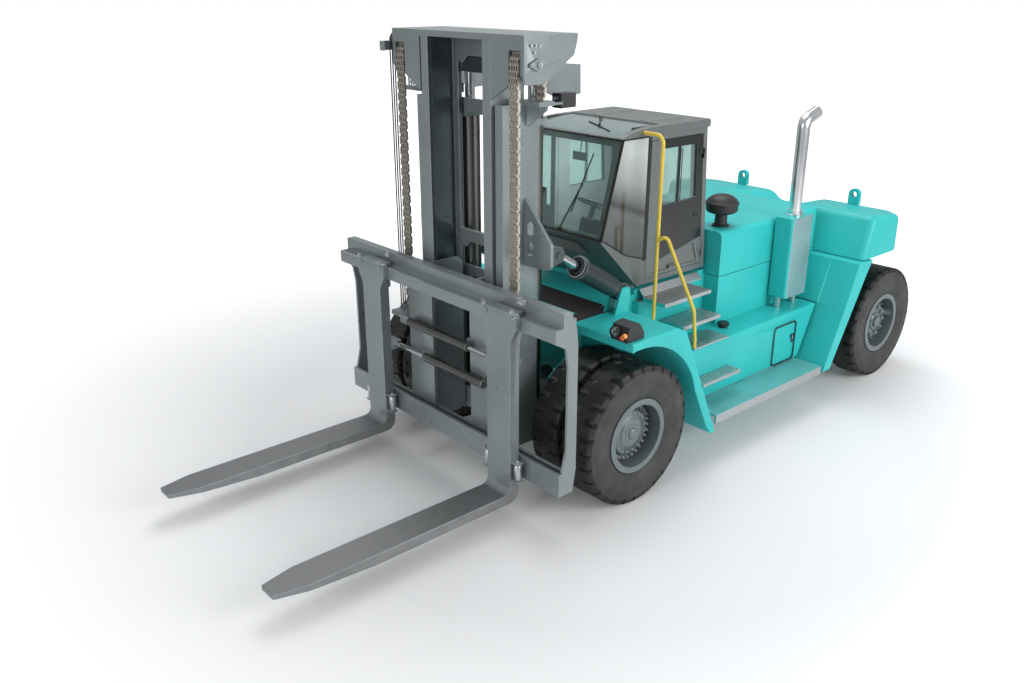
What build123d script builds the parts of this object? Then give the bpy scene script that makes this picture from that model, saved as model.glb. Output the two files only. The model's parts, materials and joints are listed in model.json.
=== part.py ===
from build123d import *
import math
import os

# Heavy diesel forklift truck, millimetres. While it is drawn, y = 0 is the front axle, +Y points to
# the rear, the forks face -Y, z = 0 is the floor and +X is the driver's left side. Everything is
# moved by one shift at the end, so that the origin is the middle of the truck's footprint.

# Clearances
RUNNING_GAP = 0.3
BEARING_GAP = 2
SHUT_GAP = 6
SINK = 5

# Wheels
WHEELBASE = 4755
TYRE_RADIUS = 712
TYRE_WIDTH = 365
DUAL_GAP = 50
FRONT_OUTER_FACE = 1680
REAR_OUTER_FACE = 1607
BEAD_INSET = 36
RIM_FLANGE_RADIUS = 380
RIM_FLANGE = 18
RIM_WALL = 16
RIM_RADIUS = 336
HUB_RADIUS = 230
HUB_RECESS = 110
HUB_WALL = 50
DISC_HALF = 18
DISC_OFFSET = 10
REAR_LOBES = 10
REAR_LOBE_CIRCLE = 172
REAR_LOBE_RADIUS = 33

# Axles
AXLE_Z = TYRE_RADIUS
AXLE_RADIUS = 150
DIFFERENTIAL_RADIUS = 255
SPINDLE_RADIUS = 110
STEER_SPINDLE_RADIUS = 80
STEER_ARM = 180
BRAKE_RADIUS = 262
BRAKE_INNER = 705
BRAKE_OUTER = 880
HUB_END_IN = 450
KINGPIN_X = 1100
KINGPIN_RADIUS = 42
KNUCKLE_HALF_HEIGHT = 170
YOKE_THICK = 55
BEAM_HALF = 130
BEAM_REACH = 140
STEER_PIN_RADIUS = 60
CRADLE_HALF = 215
CRADLE_PLATE = 40

# Chassis frame, heights taken from the axle line
FRAME_INNER = 480
FRAME_PLATE = 50
LUG_INNER = 640
LUG_OUTER = LUG_INNER + FRAME_PLATE
BULKHEAD_Y = 430
BULKHEAD_PLATE = 40
FRAME_BELLY = AXLE_Z - 232
FRAME_OVER_AXLE = AXLE_Z + 168
FRAME_MIDDLE_TOP = AXLE_Z + 418
FRAME_TOP = AXLE_Z + 538
FRAME_REAR_TOP = AXLE_Z + 728
REAR_ARCH_Z = AXLE_Z + 298
PIN_PLATE_Z = AXLE_Z - 152

# Engine, tanks and covers
BODY_HALF = 690
ENGINE_HALF = 380
ENGINE_FRONT = 2350
ENGINE_LENGTH = 800
ENGINE_BOTTOM = AXLE_Z + 18
ENGINE_TOP = ENGINE_BOTTOM + 1120
ENGINE_BEARER = 90
TANK_OUTER = 1250
TANK_TOP = FRAME_MIDDLE_TOP
TANK_BOTTOM = AXLE_Z - 212
TANK_FRONT = 1290
TANK_SLANT = 0.46
TANK_REAR = WHEELBASE - 1360
TANK_CORNER = 30
CAP_RADIUS = 45
CAP_X = 1014
CAP_Y = 2149
SHEET = 12
COVER_PLATE = 25

# Front fenders
ARCH_GAP = 180
ARCH_RADIUS = TYRE_RADIUS + ARCH_GAP
FENDER_INNER = 700
FENDER_OUTER = 1645
FENDER_SKIN = 76
FENDER_TOP = AXLE_Z + ARCH_RADIUS + FENDER_SKIN
FENDER_FRONT = -120
FENDER_NOSE = 40
FENDER_BACK = 540
FENDER_FOOT_Z = AXLE_Z - 374
FENDER_FOOT_Y = ARCH_RADIUS + 302
FENDER_FOOT = 82
FENDER_EDGE = 22
ARCH_LOW_ANGLE = 14
ARCH_MIDDLE_ANGLE = 52
LAMP_INNER = 1384
LAMP_OUTER = 1591

# Deck and hood
DECK_PLATE = 50
DECK_TOP = FENDER_TOP + 60
DECK_FRONT = 960
DECK_REAR = 2140
HOOD_HALF = 890
HOOD_SPLIT = FENDER_TOP + 10
HOOD_TOP = HOOD_SPLIT + 510
HOOD_FRONT = 2165
HOOD_REAR = WHEELBASE - 675
HOOD_EDGE = 70

# Side hatch in the left tank
HATCH_Y0 = 2810
HATCH_Y1 = 3290
HATCH_Z0 = TANK_BOTTOM + 20
HATCH_Z1 = TANK_TOP - 115
HATCH_DEPTH = 180
HATCH_CORNER = 60
HATCH_LAND = 20

# Muffler, exhaust stack and air pre-cleaner
MUFFLER_WIDTH = 255
MUFFLER_X0 = HOOD_HALF + 5
MUFFLER_X1 = MUFFLER_X0 + MUFFLER_WIDTH
MUFFLER_Y0 = 3154
MUFFLER_LENGTH = 446
MUFFLER_Y1 = MUFFLER_Y0 + MUFFLER_LENGTH
MUFFLER_Z0 = TANK_TOP + 140
MUFFLER_HEIGHT = 965
MUFFLER_Z1 = MUFFLER_Z0 + MUFFLER_HEIGHT
MUFFLER_EDGE = 40
STUB_RADIUS = 40
STUB_INSET = 60
STACK_X = MUFFLER_X0 + 115
STACK_Y = MUFFLER_Y0 + 226
STACK_RADIUS = 72
STACK_WALL = 5
STACK_BORE = 200
STACK_ELBOW = 1085
STACK_TIP_Y = 240
STACK_TIP_Z = 80
STACK_BEND = 90
CLEANER_X = 675
CLEANER_Y = 2415
CLEANER_RADIUS = 180

# Counterweight and the walls in front of the rear wheels
WEIGHT_HALF = 1600
WEIGHT_FRONT = WHEELBASE - 655
WEIGHT_REAR = WHEELBASE + 355
WEIGHT_BOTTOM = FENDER_TOP - 18
WEIGHT_FRONT_TOP = WEIGHT_BOTTOM + 528
WEIGHT_REAR_TOP = WEIGHT_BOTTOM + 423
WEIGHT_EDGE = 35
WEIGHT_LOWER_HALF = 640
NOTCH_HALF = 470
NOTCH_FLOOR_HALF = 215
NOTCH_DEPTH = 154
EYE_X = 863
EYE_Y = WHEELBASE + 265
EYE_HOLE = 38
EYE_HALF = 75
EYE_PLATE = 60
EYE_RISE = 140
WALL_OUTER = 1620
WALL_INNER = 1000

# Steps and running boards
TREAD_PLATE = 40
STEP_TABLE = [  # inner x, outer x, drop below the deck, front y, rear y
    (770, 1080, 70, 1010, 1780),
    (860, 1160, 355, 1240, 1880),
]
LOW_STEP_X = 1420
LOW_STEP_Z = TANK_BOTTOM + 290
BOARD_TOP = TANK_BOTTOM + 10
BOARD_OUTER = 1630
BOARD_PLATE = 20
BOARD_SKIRT = 100
BOARD_REAR = TANK_REAR - 65

# Handrails
RAIL_RADIUS = 20
RAIL_X = 950
RAIL_Y = 985
RAIL_ROOT_Z = TANK_TOP + 290
RAIL_BRANCH_Z = RAIL_ROOT_Z + 910

# Cab
CAB_HALF = 700
CAB_WALL = 50
CAB_FLOOR = DECK_TOP + 42
FLOOR_PLATE = 50
CAB_HEIGHT = 1563
ROOF_UNDER = CAB_FLOOR + CAB_HEIGHT
ROOF_THICK = 88
ROOF_TOP = ROOF_UNDER + ROOF_THICK
ROOF_EDGE = 40
NOSE_Y = 408
NOSE_Z = CAB_FLOOR + 569
SCREEN_TOP_Y = 686
CAB_REAR_LOW = 2122
CAB_REAR_HIGH = 2010
DOOR_FRONT = 1110
DOOR_REAR = 2050
DOOR_LEAN = 104
DOOR_BOTTOM = CAB_FLOOR + 58
DOOR_TOP = CAB_FLOOR + 1508
GLASS = 8
GLASS_SETBACK = 30
REAR_WINDOW_HALF = 520
ROOF_WINDOW_HALF = 490
HINGE_X = CAB_HALF + 14
HINGE_RADIUS = 12
HINGE_HALF = 55
HINGE_HEIGHTS = (DOOR_BOTTOM + 150, DOOR_TOP - 210)
MOUNT_RADIUS = 55
LOUVRES = 4
LOUVRE_PITCH = 46

# Seat and driver's controls
SEAT_HALF = 240
SEAT_FRONT = 1320
SEAT_REAR = 1800
SEAT_TOP = CAB_FLOOR + 558
CUSHION = 120
WHEEL_RADIUS = 180
WHEEL_Y = 1040
WHEEL_Z = CAB_FLOOR + 758
WHEEL_LEAN = 25
COLUMN_TUBE = 210

# Mast rails
PIVOT_Y = -280
PIVOT_Z = PIN_PLATE_Z
PIVOT_RADIUS = 45
FOOT_OUTER = LUG_INNER - 10
FOOT_PLATE = 50
OUTER_WEB = FOOT_OUTER
OUTER_LIP = OUTER_WEB - 100
OUTER_FRONT = -820
OUTER_BACK = -380
OUTER_BOTTOM = PIVOT_Z - 140
OUTER_LENGTH = 3360
OUTER_TOP = OUTER_BOTTOM + OUTER_LENGTH
INNER_WEB = OUTER_LIP - 25
INNER_LIP = INNER_WEB - 110
INNER_FRONT = OUTER_FRONT - 30
INNER_BACK = OUTER_BACK - 70
INNER_BOTTOM = OUTER_BOTTOM + 30
INNER_LENGTH = 3870
INNER_TOP = INNER_BOTTOM + INNER_LENGTH
RAIL_WEB = 30
RAIL_FLANGE = 45
RAIL_ROOT = 14
TIE_FRONT = INNER_BACK + 25
TIE_BACK = TIE_FRONT + 25

# Mast head, sheaves, chains and hoses
HEAD_HALF = 945
HEAD_PLATE = 54
HEAD_TOP = INNER_TOP + HEAD_PLATE
HEAD_FRONT = INNER_FRONT - 6
HEAD_BACK = -235
CHEEK = 25
CHEEK_INNER = 710
SHEAVE_X = 826
SHEAVE_Y = -700
SHEAVE_Z = INNER_TOP - 184
SHEAVE_RADIUS = 135
SHEAVE_HALF = 64
SHEAVE_PIN = 40
CHAIN_WIDTH = 120
CHAIN_THICK = 30
CHAIN_ANCHOR_Z = 1500
REAR_ANCHOR_Z = OUTER_TOP + 40
HOSE_PULLEY_Z = INNER_TOP - 80
HOSE_RADIUS = 12
HOSE_WRAP = 105
HOSE_X = (-1000, -1030, -1060)
HOSE_PIN = 30

# Lift cylinders
LIFT_X = 460
LIFT_Y = -300
LIFT_BARREL = 95
LIFT_ROD = 50
LIFT_FOOT = OUTER_BOTTOM + 380
LIFT_GLAND_DROP = 80
LIFT_GLAND = OUTER_TOP - LIFT_GLAND_DROP
LIFT_BOTTOM = 60
SADDLE = 80

# Tilt cylinders, from the rear pin on the fender to the eye on the mast
TILT_X = 900
TILT_REAR_Y = 500
TILT_REAR_Z = FENDER_TOP + 200
TILT_EYE_Y = -427
TILT_EYE_Z = PIVOT_Z + 1882
TILT_BARREL = 100
TILT_GLAND = 118
TILT_GLAND_AT = 720
TILT_ROD = 50
TILT_PIN = 35
TILT_EYE = 75
TILT_EYE_HALF = 42
EYE_PLAY = 20
LUG_Y0 = -560
LUG_Y1 = -525
LUG_X = TILT_X + 90

# Work lights on the mast
LIGHT_X = 800
LIGHT_HALF = 60
LIGHT_FRONT = -332
LIGHT_BACK = -150
LIGHT_LOW = OUTER_TOP - 40
LIGHT_HEIGHT = 128

# Forks
FORK_X = 1011.5
FORK_WIDTH = 319
FORK_THICK = 100
FORK_LENGTH = 2400
FORK_TOP = 326
FORK_FACE = -1211
FORK_SHANK = 1558
FORK_SHANK_TOP = FORK_TOP + FORK_SHANK
FORK_TIP_WIDTH = 192
FORK_TIP_THICK = 36
FORK_TIP_TAPER = 302
FORK_UNDER_TAPER = 900
HEEL_RADIUS = 110
FORK_TRAVEL = 300
FORK_BACK = FORK_FACE + FORK_THICK + 10
HOOK_HALF = 230
HOOK_LIP = 42

# Carriage
CARRIAGE_HALF = 1682
FORK_BAR_LOW = FORK_SHANK_TOP + 70
FORK_BAR_HIGH = FORK_BAR_LOW + 114
FORK_BAR_FRONT = -1151
FORK_BAR_BACK = -1057
CARRIAGE_TOP = FORK_BAR_HIGH + 130
CARRIAGE_LOW = FORK_TOP + 139
LOW_BAR_FRONT = -1080
LOW_BAR_BACK = -905
END_PLATE = 27
COLUMN_BACK = -922
COLUMN_PLATE = 40
GUIDE_X = INNER_LIP - 43
GUIDE_PLATE = 30
GUIDE_BACK = -520

# Fork positioner cylinders, one above the other
POSITIONER_Y = -1030
POSITIONER_RADIUS = 46
POSITIONER_ROD = 25
POSITIONER_EAR = 210
POSITIONER_END = 25
POSITIONER_CUSHION = 15
POSITIONERS = [  # barrel low x, barrel high x, z, rod end x
    (-602, 364, CARRIAGE_LOW + 1050, 700),
    (-352, 587, CARRIAGE_LOW + 735, -820),
]

FORK_TIP_Y = FORK_FACE - FORK_LENGTH
ORIGIN_Y = (FORK_TIP_Y + WHEELBASE + TYRE_RADIUS) / 2
SIDES = (1, -1)


def block(x0, x1, y0, y1, z0, z1):
    return Pos((x0 + x1) / 2, (y0 + y1) / 2, (z0 + z1) / 2) * Box(abs(x1 - x0), abs(y1 - y0), abs(z1 - z0))


def bar_x(radius, x0, x1, y, z):
    return Pos((x0 + x1) / 2, y, z) * Rot(0, 90, 0) * Cylinder(radius, abs(x1 - x0))


def bar_y(radius, y0, y1, x, z):
    return Pos(x, (y0 + y1) / 2, z) * Rot(90, 0, 0) * Cylinder(radius, abs(y1 - y0))


def bar_z(radius, z0, z1, x, y):
    return Pos(x, y, (z0 + z1) / 2) * Cylinder(radius, abs(z1 - z0))


def turned_x(profile, y, z):
    """A turned piece on an axle line along X: profile holds (x, radius)."""
    return Pos(0, y, z) * revolve(make_face(Polyline(*profile, close=True)), axis=Axis.X, revolution_arc=360)


def turned_z(profile, x, y):
    """A turned piece on an upright line: profile holds (radius, z)."""
    outline = Plane.XZ * make_face(Polyline(*profile, close=True))
    return Pos(x, y, 0) * revolve(outline, axis=Axis.Z, revolution_arc=360)


def outline_of(points, corners):
    """A closed outline whose corners, picked by their number in points, are rounded: {number: radius}."""
    face = make_face(Polyline(*points, close=True))
    for number, radius in corners.items():
        spot = Vector(*points[number], 0)
        face = fillet(face.vertices().sort_by_distance(spot)[0], radius)
    return face


def side_plate(points, x0, x1, corners={}):
    """A plate seen from the side: points are (y, z) and the plate lies from x0 to x1."""
    low, high = min(x0, x1), max(x0, x1)
    return extrude(Plane.YZ.offset(low) * outline_of(points, corners), amount=high - low)


def front_plate(points, y0, y1, corners={}):
    """A plate seen from the front: points are (x, z) and the plate lies from y0 to y1."""
    plane = Plane(origin=(0, y0, 0), x_dir=(1, 0, 0), z_dir=(0, -1, 0))
    return extrude(plane * outline_of(points, corners), amount=-(y1 - y0))


def top_plate(points, z0, z1, corners={}):
    """A plate seen from above: points are (x, y) and the plate lies from z0 to z1."""
    return extrude(Pos(0, 0, z0) * outline_of(points, corners), amount=z1 - z0)


def other_side(piece):
    return mirror(piece, about=Plane.YZ)


def both_sides(piece):
    return [piece, other_side(piece)]


def tube_run(points, radius, bends):
    """A round bar bent along points, with one bend radius for each corner."""
    path = FilletPolyline(*points, radius=bends)
    start = Plane(origin=path @ 0, z_dir=path % 0)
    return sweep(start * Circle(radius), path=path)


# Wheels: tyre, two-flange rim shell and a dished hub, all turned on the axle line

front_outer_x = FRONT_OUTER_FACE - TYRE_WIDTH / 2
front_inner_x = front_outer_x - TYRE_WIDTH - DUAL_GAP
rear_x = REAR_OUTER_FACE - TYRE_WIDTH / 2
front_disc_x = front_outer_x - DISC_OFFSET
rear_disc_x = rear_x - DISC_OFFSET
spindle_end = front_disc_x - 20
steer_spindle_end = rear_disc_x - 20
front_hub_end = FRONT_OUTER_FACE - HUB_END_IN
rear_hub_end = rear_disc_x - 190
bead_half = TYRE_WIDTH / 2 - BEAD_INSET


def tyre(centre_x, y):
    half = TYRE_WIDTH / 2
    middle = (RIM_FLANGE_RADIUS + TYRE_RADIUS) / 2
    right = [
        Line((bead_half, RIM_RADIUS), (bead_half, RIM_FLANGE_RADIUS + 8)),
        ThreePointArc((bead_half, RIM_FLANGE_RADIUS + 8), (half, middle), (half - 14, TYRE_RADIUS - 24)),
        Line((half - 14, TYRE_RADIUS - 24), (half - 34, TYRE_RADIUS)),
        Line((half - 34, TYRE_RADIUS), (0, TYRE_RADIUS)),
    ]
    left = [mirror(edge, about=Plane.YZ) for edge in right]
    base = Line((-bead_half, RIM_RADIUS), (bead_half, RIM_RADIUS))
    section = make_face(right + left + [base])
    return Pos(centre_x, y, AXLE_Z) * revolve(section, axis=Axis.X, revolution_arc=360)


def rim_shell(centres, y):
    """The rolled shell under one tyre or a pair: a barrel with a flange at each bead."""
    seat = RIM_RADIUS - RUNNING_GAP
    profile = [(centres[0] - bead_half - RIM_FLANGE, RIM_RADIUS - RIM_WALL)]
    for centre in centres:
        low, high = centre - bead_half, centre + bead_half
        profile += [(low - RIM_FLANGE, RIM_FLANGE_RADIUS), (low, RIM_FLANGE_RADIUS), (low, seat), (high, seat),
                    (high, RIM_FLANGE_RADIUS), (high + RIM_FLANGE, RIM_FLANGE_RADIUS)]
        if centre != centres[-1]:
            profile += [(high + RIM_FLANGE, seat), (centres[-1] - bead_half - RIM_FLANGE, seat)]
    profile.append((centres[-1] + bead_half + RIM_FLANGE, RIM_RADIUS - RIM_WALL))
    return turned_x(profile, y, AXLE_Z)


def hub(outer_face, disc_x, bore_radius, bore_end, inner_end, y):
    """Disc and hub drum in one turned piece; the drum is bored for its spindle up to bore_end."""
    face = outer_face - HUB_RECESS
    bore = bore_radius + RUNNING_GAP
    rim = RIM_RADIUS - RIM_WALL + BEARING_GAP
    profile = [
        (inner_end, bore), (bore_end, bore), (bore_end, 0), (face + 8, 0), (face + 8, 52), (face, 60),
        (face, HUB_RADIUS - 62), (face - 10, HUB_RADIUS - 52), (face - 10, HUB_RADIUS - 12), (face - 22, HUB_RADIUS),
        (disc_x + 60, HUB_RADIUS), (disc_x + DISC_HALF, HUB_RADIUS + 22), (disc_x + DISC_HALF, rim),
        (disc_x - DISC_HALF, rim), (disc_x - DISC_HALF, bore_radius + HUB_WALL), (inner_end, bore_radius + HUB_WALL),
    ]
    return turned_x(profile, y, AXLE_Z)


def make_front_rim():
    rim = rim_shell([front_inner_x, front_outer_x], 0)
    return rim + hub(FRONT_OUTER_FACE, front_disc_x, SPINDLE_RADIUS, spindle_end + BEARING_GAP, front_hub_end, 0)


def make_rear_rim():
    rim = rim_shell([rear_x], WHEELBASE)
    rim += hub(REAR_OUTER_FACE, rear_disc_x, STEER_SPINDLE_RADIUS, steer_spindle_end + BEARING_GAP, rear_hub_end,
               WHEELBASE)
    face = REAR_OUTER_FACE - HUB_RECESS
    for number in range(REAR_LOBES):
        angle = 2 * math.pi * number / REAR_LOBES
        y = WHEELBASE + REAR_LOBE_CIRCLE * math.cos(angle)
        z = AXLE_Z + REAR_LOBE_CIRCLE * math.sin(angle)
        rim += bar_x(REAR_LOBE_RADIUS, face - 30, face + 14, y, z)
    return rim


# Drive axle under the front of the frame, with brake drums inside the wheels

def make_drive_axle():
    inner_half = front_hub_end - 200
    half = [
        (0, DIFFERENTIAL_RADIUS), (110, DIFFERENTIAL_RADIUS - 12), (190, DIFFERENTIAL_RADIUS - 55), (260, AXLE_RADIUS),
        (BRAKE_INNER, AXLE_RADIUS), (BRAKE_INNER, BRAKE_RADIUS), (BRAKE_OUTER, BRAKE_RADIUS),
        (BRAKE_OUTER, AXLE_RADIUS), (inner_half, AXLE_RADIUS), (inner_half, SPINDLE_RADIUS),
        (spindle_end, SPINDLE_RADIUS),
    ]
    profile = [(-x, r) for x, r in reversed(half[1:])] + half
    profile = [(-spindle_end, 0)] + profile + [(spindle_end, 0)]
    axle = turned_x(profile, 0, AXLE_Z)
    axle += bar_y(AXLE_RADIUS - 30, AXLE_RADIUS, BULKHEAD_Y - 50, 0, AXLE_Z)
    pad_x = LUG_INNER + FRAME_PLATE / 2
    pad = block(pad_x - 50, pad_x + 35, -130, 130, AXLE_Z + 100, FRAME_OVER_AXLE)
    return axle + pad + other_side(pad)


# Steer axle: a deep beam with forked ends for the knuckles, hung on a lengthwise pin

cradle_front = WHEELBASE - CRADLE_HALF
cradle_rear = WHEELBASE + CRADLE_HALF


def make_steer_axle():
    reach = KINGPIN_X - BEAM_REACH
    beam = [
        (reach, AXLE_Z - 150), (reach - 260, AXLE_Z - 190), (260 - reach, AXLE_Z - 190), (-reach, AXLE_Z - 150),
        (-reach, AXLE_Z + 150), (340 - reach, AXLE_Z + 175), (reach - 340, AXLE_Z + 175), (reach, AXLE_Z + 150),
    ]
    axle = front_plate(beam, WHEELBASE - BEAM_HALF, WHEELBASE + BEAM_HALF)
    axle += bar_y(STEER_PIN_RADIUS, cradle_front, cradle_rear, 0, AXLE_Z)
    yoke_in = KNUCKLE_HALF_HEIGHT + 3
    yoke_out = yoke_in + YOKE_THICK
    yoke = block(reach - 60, reach - 10, WHEELBASE - 85, WHEELBASE + 85, AXLE_Z - yoke_out, AXLE_Z + yoke_out)
    for level in (1, -1):
        z0, z1 = sorted((AXLE_Z + level * yoke_in, AXLE_Z + level * yoke_out))
        yoke += block(reach - 60, KINGPIN_X, WHEELBASE - 85, WHEELBASE + 85, z0, z1)
        yoke += bar_z(85, z0, z1, KINGPIN_X, WHEELBASE)
    yoke += bar_z(KINGPIN_RADIUS, AXLE_Z - yoke_out - 12, AXLE_Z + yoke_out + 12, KINGPIN_X, WHEELBASE)
    return axle + yoke + other_side(yoke)


def make_knuckle():
    body = bar_z(88, AXLE_Z - KNUCKLE_HALF_HEIGHT, AXLE_Z + KNUCKLE_HALF_HEIGHT, KINGPIN_X, WHEELBASE)
    body += turned_x([(KINGPIN_X, 0), (KINGPIN_X, 120), (rear_hub_end - SINK, 120), (rear_hub_end - SINK, STEER_SPINDLE_RADIUS),
                      (steer_spindle_end, STEER_SPINDLE_RADIUS), (steer_spindle_end, 0)], WHEELBASE, AXLE_Z)
    body += block(KINGPIN_X + 10, KINGPIN_X + 70, WHEELBASE - STEER_ARM, WHEELBASE, AXLE_Z - 150, AXLE_Z - 110)
    return body - bar_z(KINGPIN_RADIUS + RUNNING_GAP, AXLE_Z - 400, AXLE_Z + 400, KINGPIN_X, WHEELBASE)


# Chassis: two deep side plates joined by cross-members, and the mast's mount bolted on in front

frame_front = BULKHEAD_Y + BULKHEAD_PLATE


def make_chassis():
    belly_end = TANK_REAR - 15
    arch_front = WHEELBASE - 1035
    plate = [
        (frame_front, FRAME_OVER_AXLE), (frame_front + 90, FRAME_OVER_AXLE), (frame_front + 290, FRAME_BELLY),
        (belly_end, FRAME_BELLY), (arch_front, REAR_ARCH_Z), (cradle_front - 20, REAR_ARCH_Z),
        (cradle_front, AXLE_Z - 152), (cradle_front + 40, AXLE_Z - 152), (cradle_front + 60, REAR_ARCH_Z),
        (cradle_rear + 10, REAR_ARCH_Z), (cradle_rear + 10, FRAME_REAR_TOP), (arch_front + 80, FRAME_REAR_TOP),
        (belly_end - 80, FRAME_MIDDLE_TOP), (900, FRAME_MIDDLE_TOP), (frame_front, FRAME_TOP),
    ]
    plate = side_plate(plate, FRAME_INNER, FRAME_INNER + FRAME_PLATE)
    frame = plate + other_side(plate)
    for y0 in (ENGINE_FRONT - 450, ENGINE_FRONT + ENGINE_LENGTH + 110):
        wall = block(-FRAME_INNER, FRAME_INNER, y0, y0 + FRAME_PLATE, FRAME_BELLY + 40, FRAME_MIDDLE_TOP - 20)
        frame += wall - bar_y(130, y0 - 5, y0 + FRAME_PLATE + 5, 0, AXLE_Z + 160)
    for y in (ENGINE_FRONT + 130, ENGINE_FRONT + ENGINE_LENGTH - 130):
        frame += block(-FRAME_INNER, FRAME_INNER, y - 40, y + 40, ENGINE_BOTTOM - ENGINE_BEARER, ENGINE_BOTTOM)
    cradle = [(-FRAME_INNER, REAR_ARCH_Z), (-170, AXLE_Z - 120), (170, AXLE_Z - 120), (FRAME_INNER, REAR_ARCH_Z),
              (FRAME_INNER, FRAME_REAR_TOP - 40), (-FRAME_INNER, FRAME_REAR_TOP - 40)]
    for y0 in (cradle_front, cradle_rear - CRADLE_PLATE):
        hanger = front_plate(cradle, y0, y0 + CRADLE_PLATE, {1: 60, 2: 60})
        frame += hanger - bar_y(STEER_PIN_RADIUS + RUNNING_GAP, y0 - 5, y0 + CRADLE_PLATE + 5, 0, AXLE_Z)
    return frame


def make_mast_mount():
    """The bulkhead in front of the frame with a lug plate and its pin on each side for the mast's feet."""
    lug = [
        (PIVOT_Y - 90, PIVOT_Z - 50), (PIVOT_Y - 30, PIVOT_Z - 95), (PIVOT_Y + 55, PIVOT_Z - 90),
        (PIVOT_Y + 90, PIVOT_Z - 20), (PIVOT_Y + 85, FRAME_OVER_AXLE - 60), (PIVOT_Y + 130, FRAME_OVER_AXLE),
        (frame_front, FRAME_OVER_AXLE), (frame_front, FRAME_TOP), (40, FRAME_TOP),
        (PIVOT_Y + 40, FRAME_TOP - 180), (PIVOT_Y - 90, PIVOT_Z + 110),
    ]
    half = side_plate(lug, LUG_INNER, LUG_OUTER, {0: 30, 1: 30, 2: 30, 3: 30, 9: 60})
    half += bar_x(PIVOT_RADIUS, FOOT_OUTER - FOOT_PLATE - 10, LUG_INNER + 20, PIVOT_Y, PIVOT_Z)
    mount = half + other_side(half)
    return mount + block(-LUG_OUTER, LUG_OUTER, BULKHEAD_Y, frame_front, FRAME_OVER_AXLE, FRAME_TOP)


# Front fenders: a flat-topped box over each pair of tyres, whose leg comes down behind them

def on_arch(degrees):
    angle = math.radians(degrees)
    return (ARCH_RADIUS * math.cos(angle), AXLE_Z + ARCH_RADIUS * math.sin(angle))


def make_fender():
    arch_top = on_arch(90)
    slope_top = (FENDER_BACK + 140, FENDER_TOP - 80)
    foot_front = (FENDER_FOOT_Y, FENDER_FOOT_Z)
    foot_rear = (FENDER_FOOT_Y + FENDER_FOOT, FENDER_FOOT_Z)
    shin = (FENDER_FOOT_Y - 97, FENDER_FOOT_Z + 122)
    nose = (FENDER_FRONT + FENDER_NOSE, arch_top[1])
    edges = [
        Line((FENDER_FRONT, FENDER_TOP), (FENDER_BACK, FENDER_TOP)),
        Line((FENDER_BACK, FENDER_TOP), slope_top),
        Line(slope_top, foot_rear),
        Line(foot_rear, foot_front),
        Line(foot_front, shin),
        Line(shin, on_arch(ARCH_LOW_ANGLE)),
        ThreePointArc(on_arch(ARCH_LOW_ANGLE), on_arch(ARCH_MIDDLE_ANGLE), arch_top),
        Line(arch_top, nose),
        Line(nose, (FENDER_FRONT, arch_top[1] - 10)),
        Line((FENDER_FRONT, arch_top[1] - 10), (FENDER_FRONT, FENDER_TOP)),
    ]
    fender = extrude(Plane.YZ.offset(FENDER_INNER) * make_face(edges), amount=FENDER_OUTER - FENDER_INNER)
    outer_edges = fender.faces().sort_by(Axis.X)[-1].edges()
    long_edges = [edge for edge in outer_edges if edge.center().Z > FENDER_TOP - 10 or edge.length > 1200]
    fender = fillet(long_edges, FENDER_EDGE)
    for x0 in (TILT_X - 80, TILT_X + 55):
        fender += side_plate([(TILT_REAR_Y - 150, FENDER_TOP - SINK), (TILT_REAR_Y + 40, FENDER_TOP - SINK),
                              (TILT_REAR_Y + 70, TILT_REAR_Z - 40), (TILT_REAR_Y + 60, TILT_REAR_Z + 60),
                              (TILT_REAR_Y - 60, TILT_REAR_Z + 60)], x0, x0 + 25, {2: 30, 3: 30, 4: 40})
    return fender + bar_x(TILT_PIN, TILT_X - 80, TILT_X + 80, TILT_REAR_Y, TILT_REAR_Z)


def make_lamps():
    view = [(FENDER_FRONT - 26, FENDER_TOP), (88, FENDER_TOP), (88, FENDER_TOP + 60), (20, FENDER_TOP + 165),
            (FENDER_FRONT, FENDER_TOP + 150)]
    housing = side_plate(view, LAMP_INNER, LAMP_OUTER, {2: 15, 3: 25, 4: 20})
    lens_x = LAMP_INNER + 66
    lens_z = FENDER_TOP + 78
    housing -= bar_y(54, FENDER_FRONT - 80, FENDER_FRONT + 15, lens_x, lens_z)
    housing += bar_y(50, FENDER_FRONT + 2, FENDER_FRONT + 20, lens_x, lens_z)
    return housing + bar_y(30, FENDER_FRONT - 30, FENDER_FRONT + 20, LAMP_OUTER - 41, FENDER_TOP + 50)


# Body below the cab and hood: gearbox cover with the deck, tanks, hatch and side covers

def make_body():
    deck_under = DECK_TOP - DECK_PLATE
    cover = side_plate([(180, FRAME_TOP + 50), (180, FENDER_TOP - 40), (560, deck_under), (2200, deck_under),
                        (2200, FRAME_MIDDLE_TOP), (900, FRAME_MIDDLE_TOP), (480, FRAME_TOP)], -BODY_HALF, BODY_HALF)
    cover -= block(-BODY_HALF + 20, BODY_HALF - 20, 500, 2180, 0, deck_under - 20)
    return cover + block(-BODY_HALF, BODY_HALF, DECK_FRONT, DECK_REAR, deck_under, DECK_TOP)


def make_tank():
    rear_high = TANK_REAR + (TANK_TOP - TANK_BOTTOM) * TANK_SLANT
    tank = side_plate([(TANK_FRONT, TANK_BOTTOM), (TANK_REAR, TANK_BOTTOM), (rear_high, TANK_TOP),
                       (TANK_FRONT, TANK_TOP)], FRAME_INNER + FRAME_PLATE, TANK_OUTER)
    tank = fillet(tank.edges().filter_by(Axis.Y).sort_by(Axis.X)[-2:], TANK_CORNER)
    neck = turned_z([(0, TANK_TOP - BEARING_GAP), (CAP_RADIUS - 8, TANK_TOP - BEARING_GAP), (CAP_RADIUS - 8, TANK_TOP + 12),
                     (CAP_RADIUS, TANK_TOP + 16), (CAP_RADIUS, TANK_TOP + 40), (CAP_RADIUS - 8, TANK_TOP + 48),
                     (0, TANK_TOP + 48)], CAP_X, CAP_Y)
    return tank + neck


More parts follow.
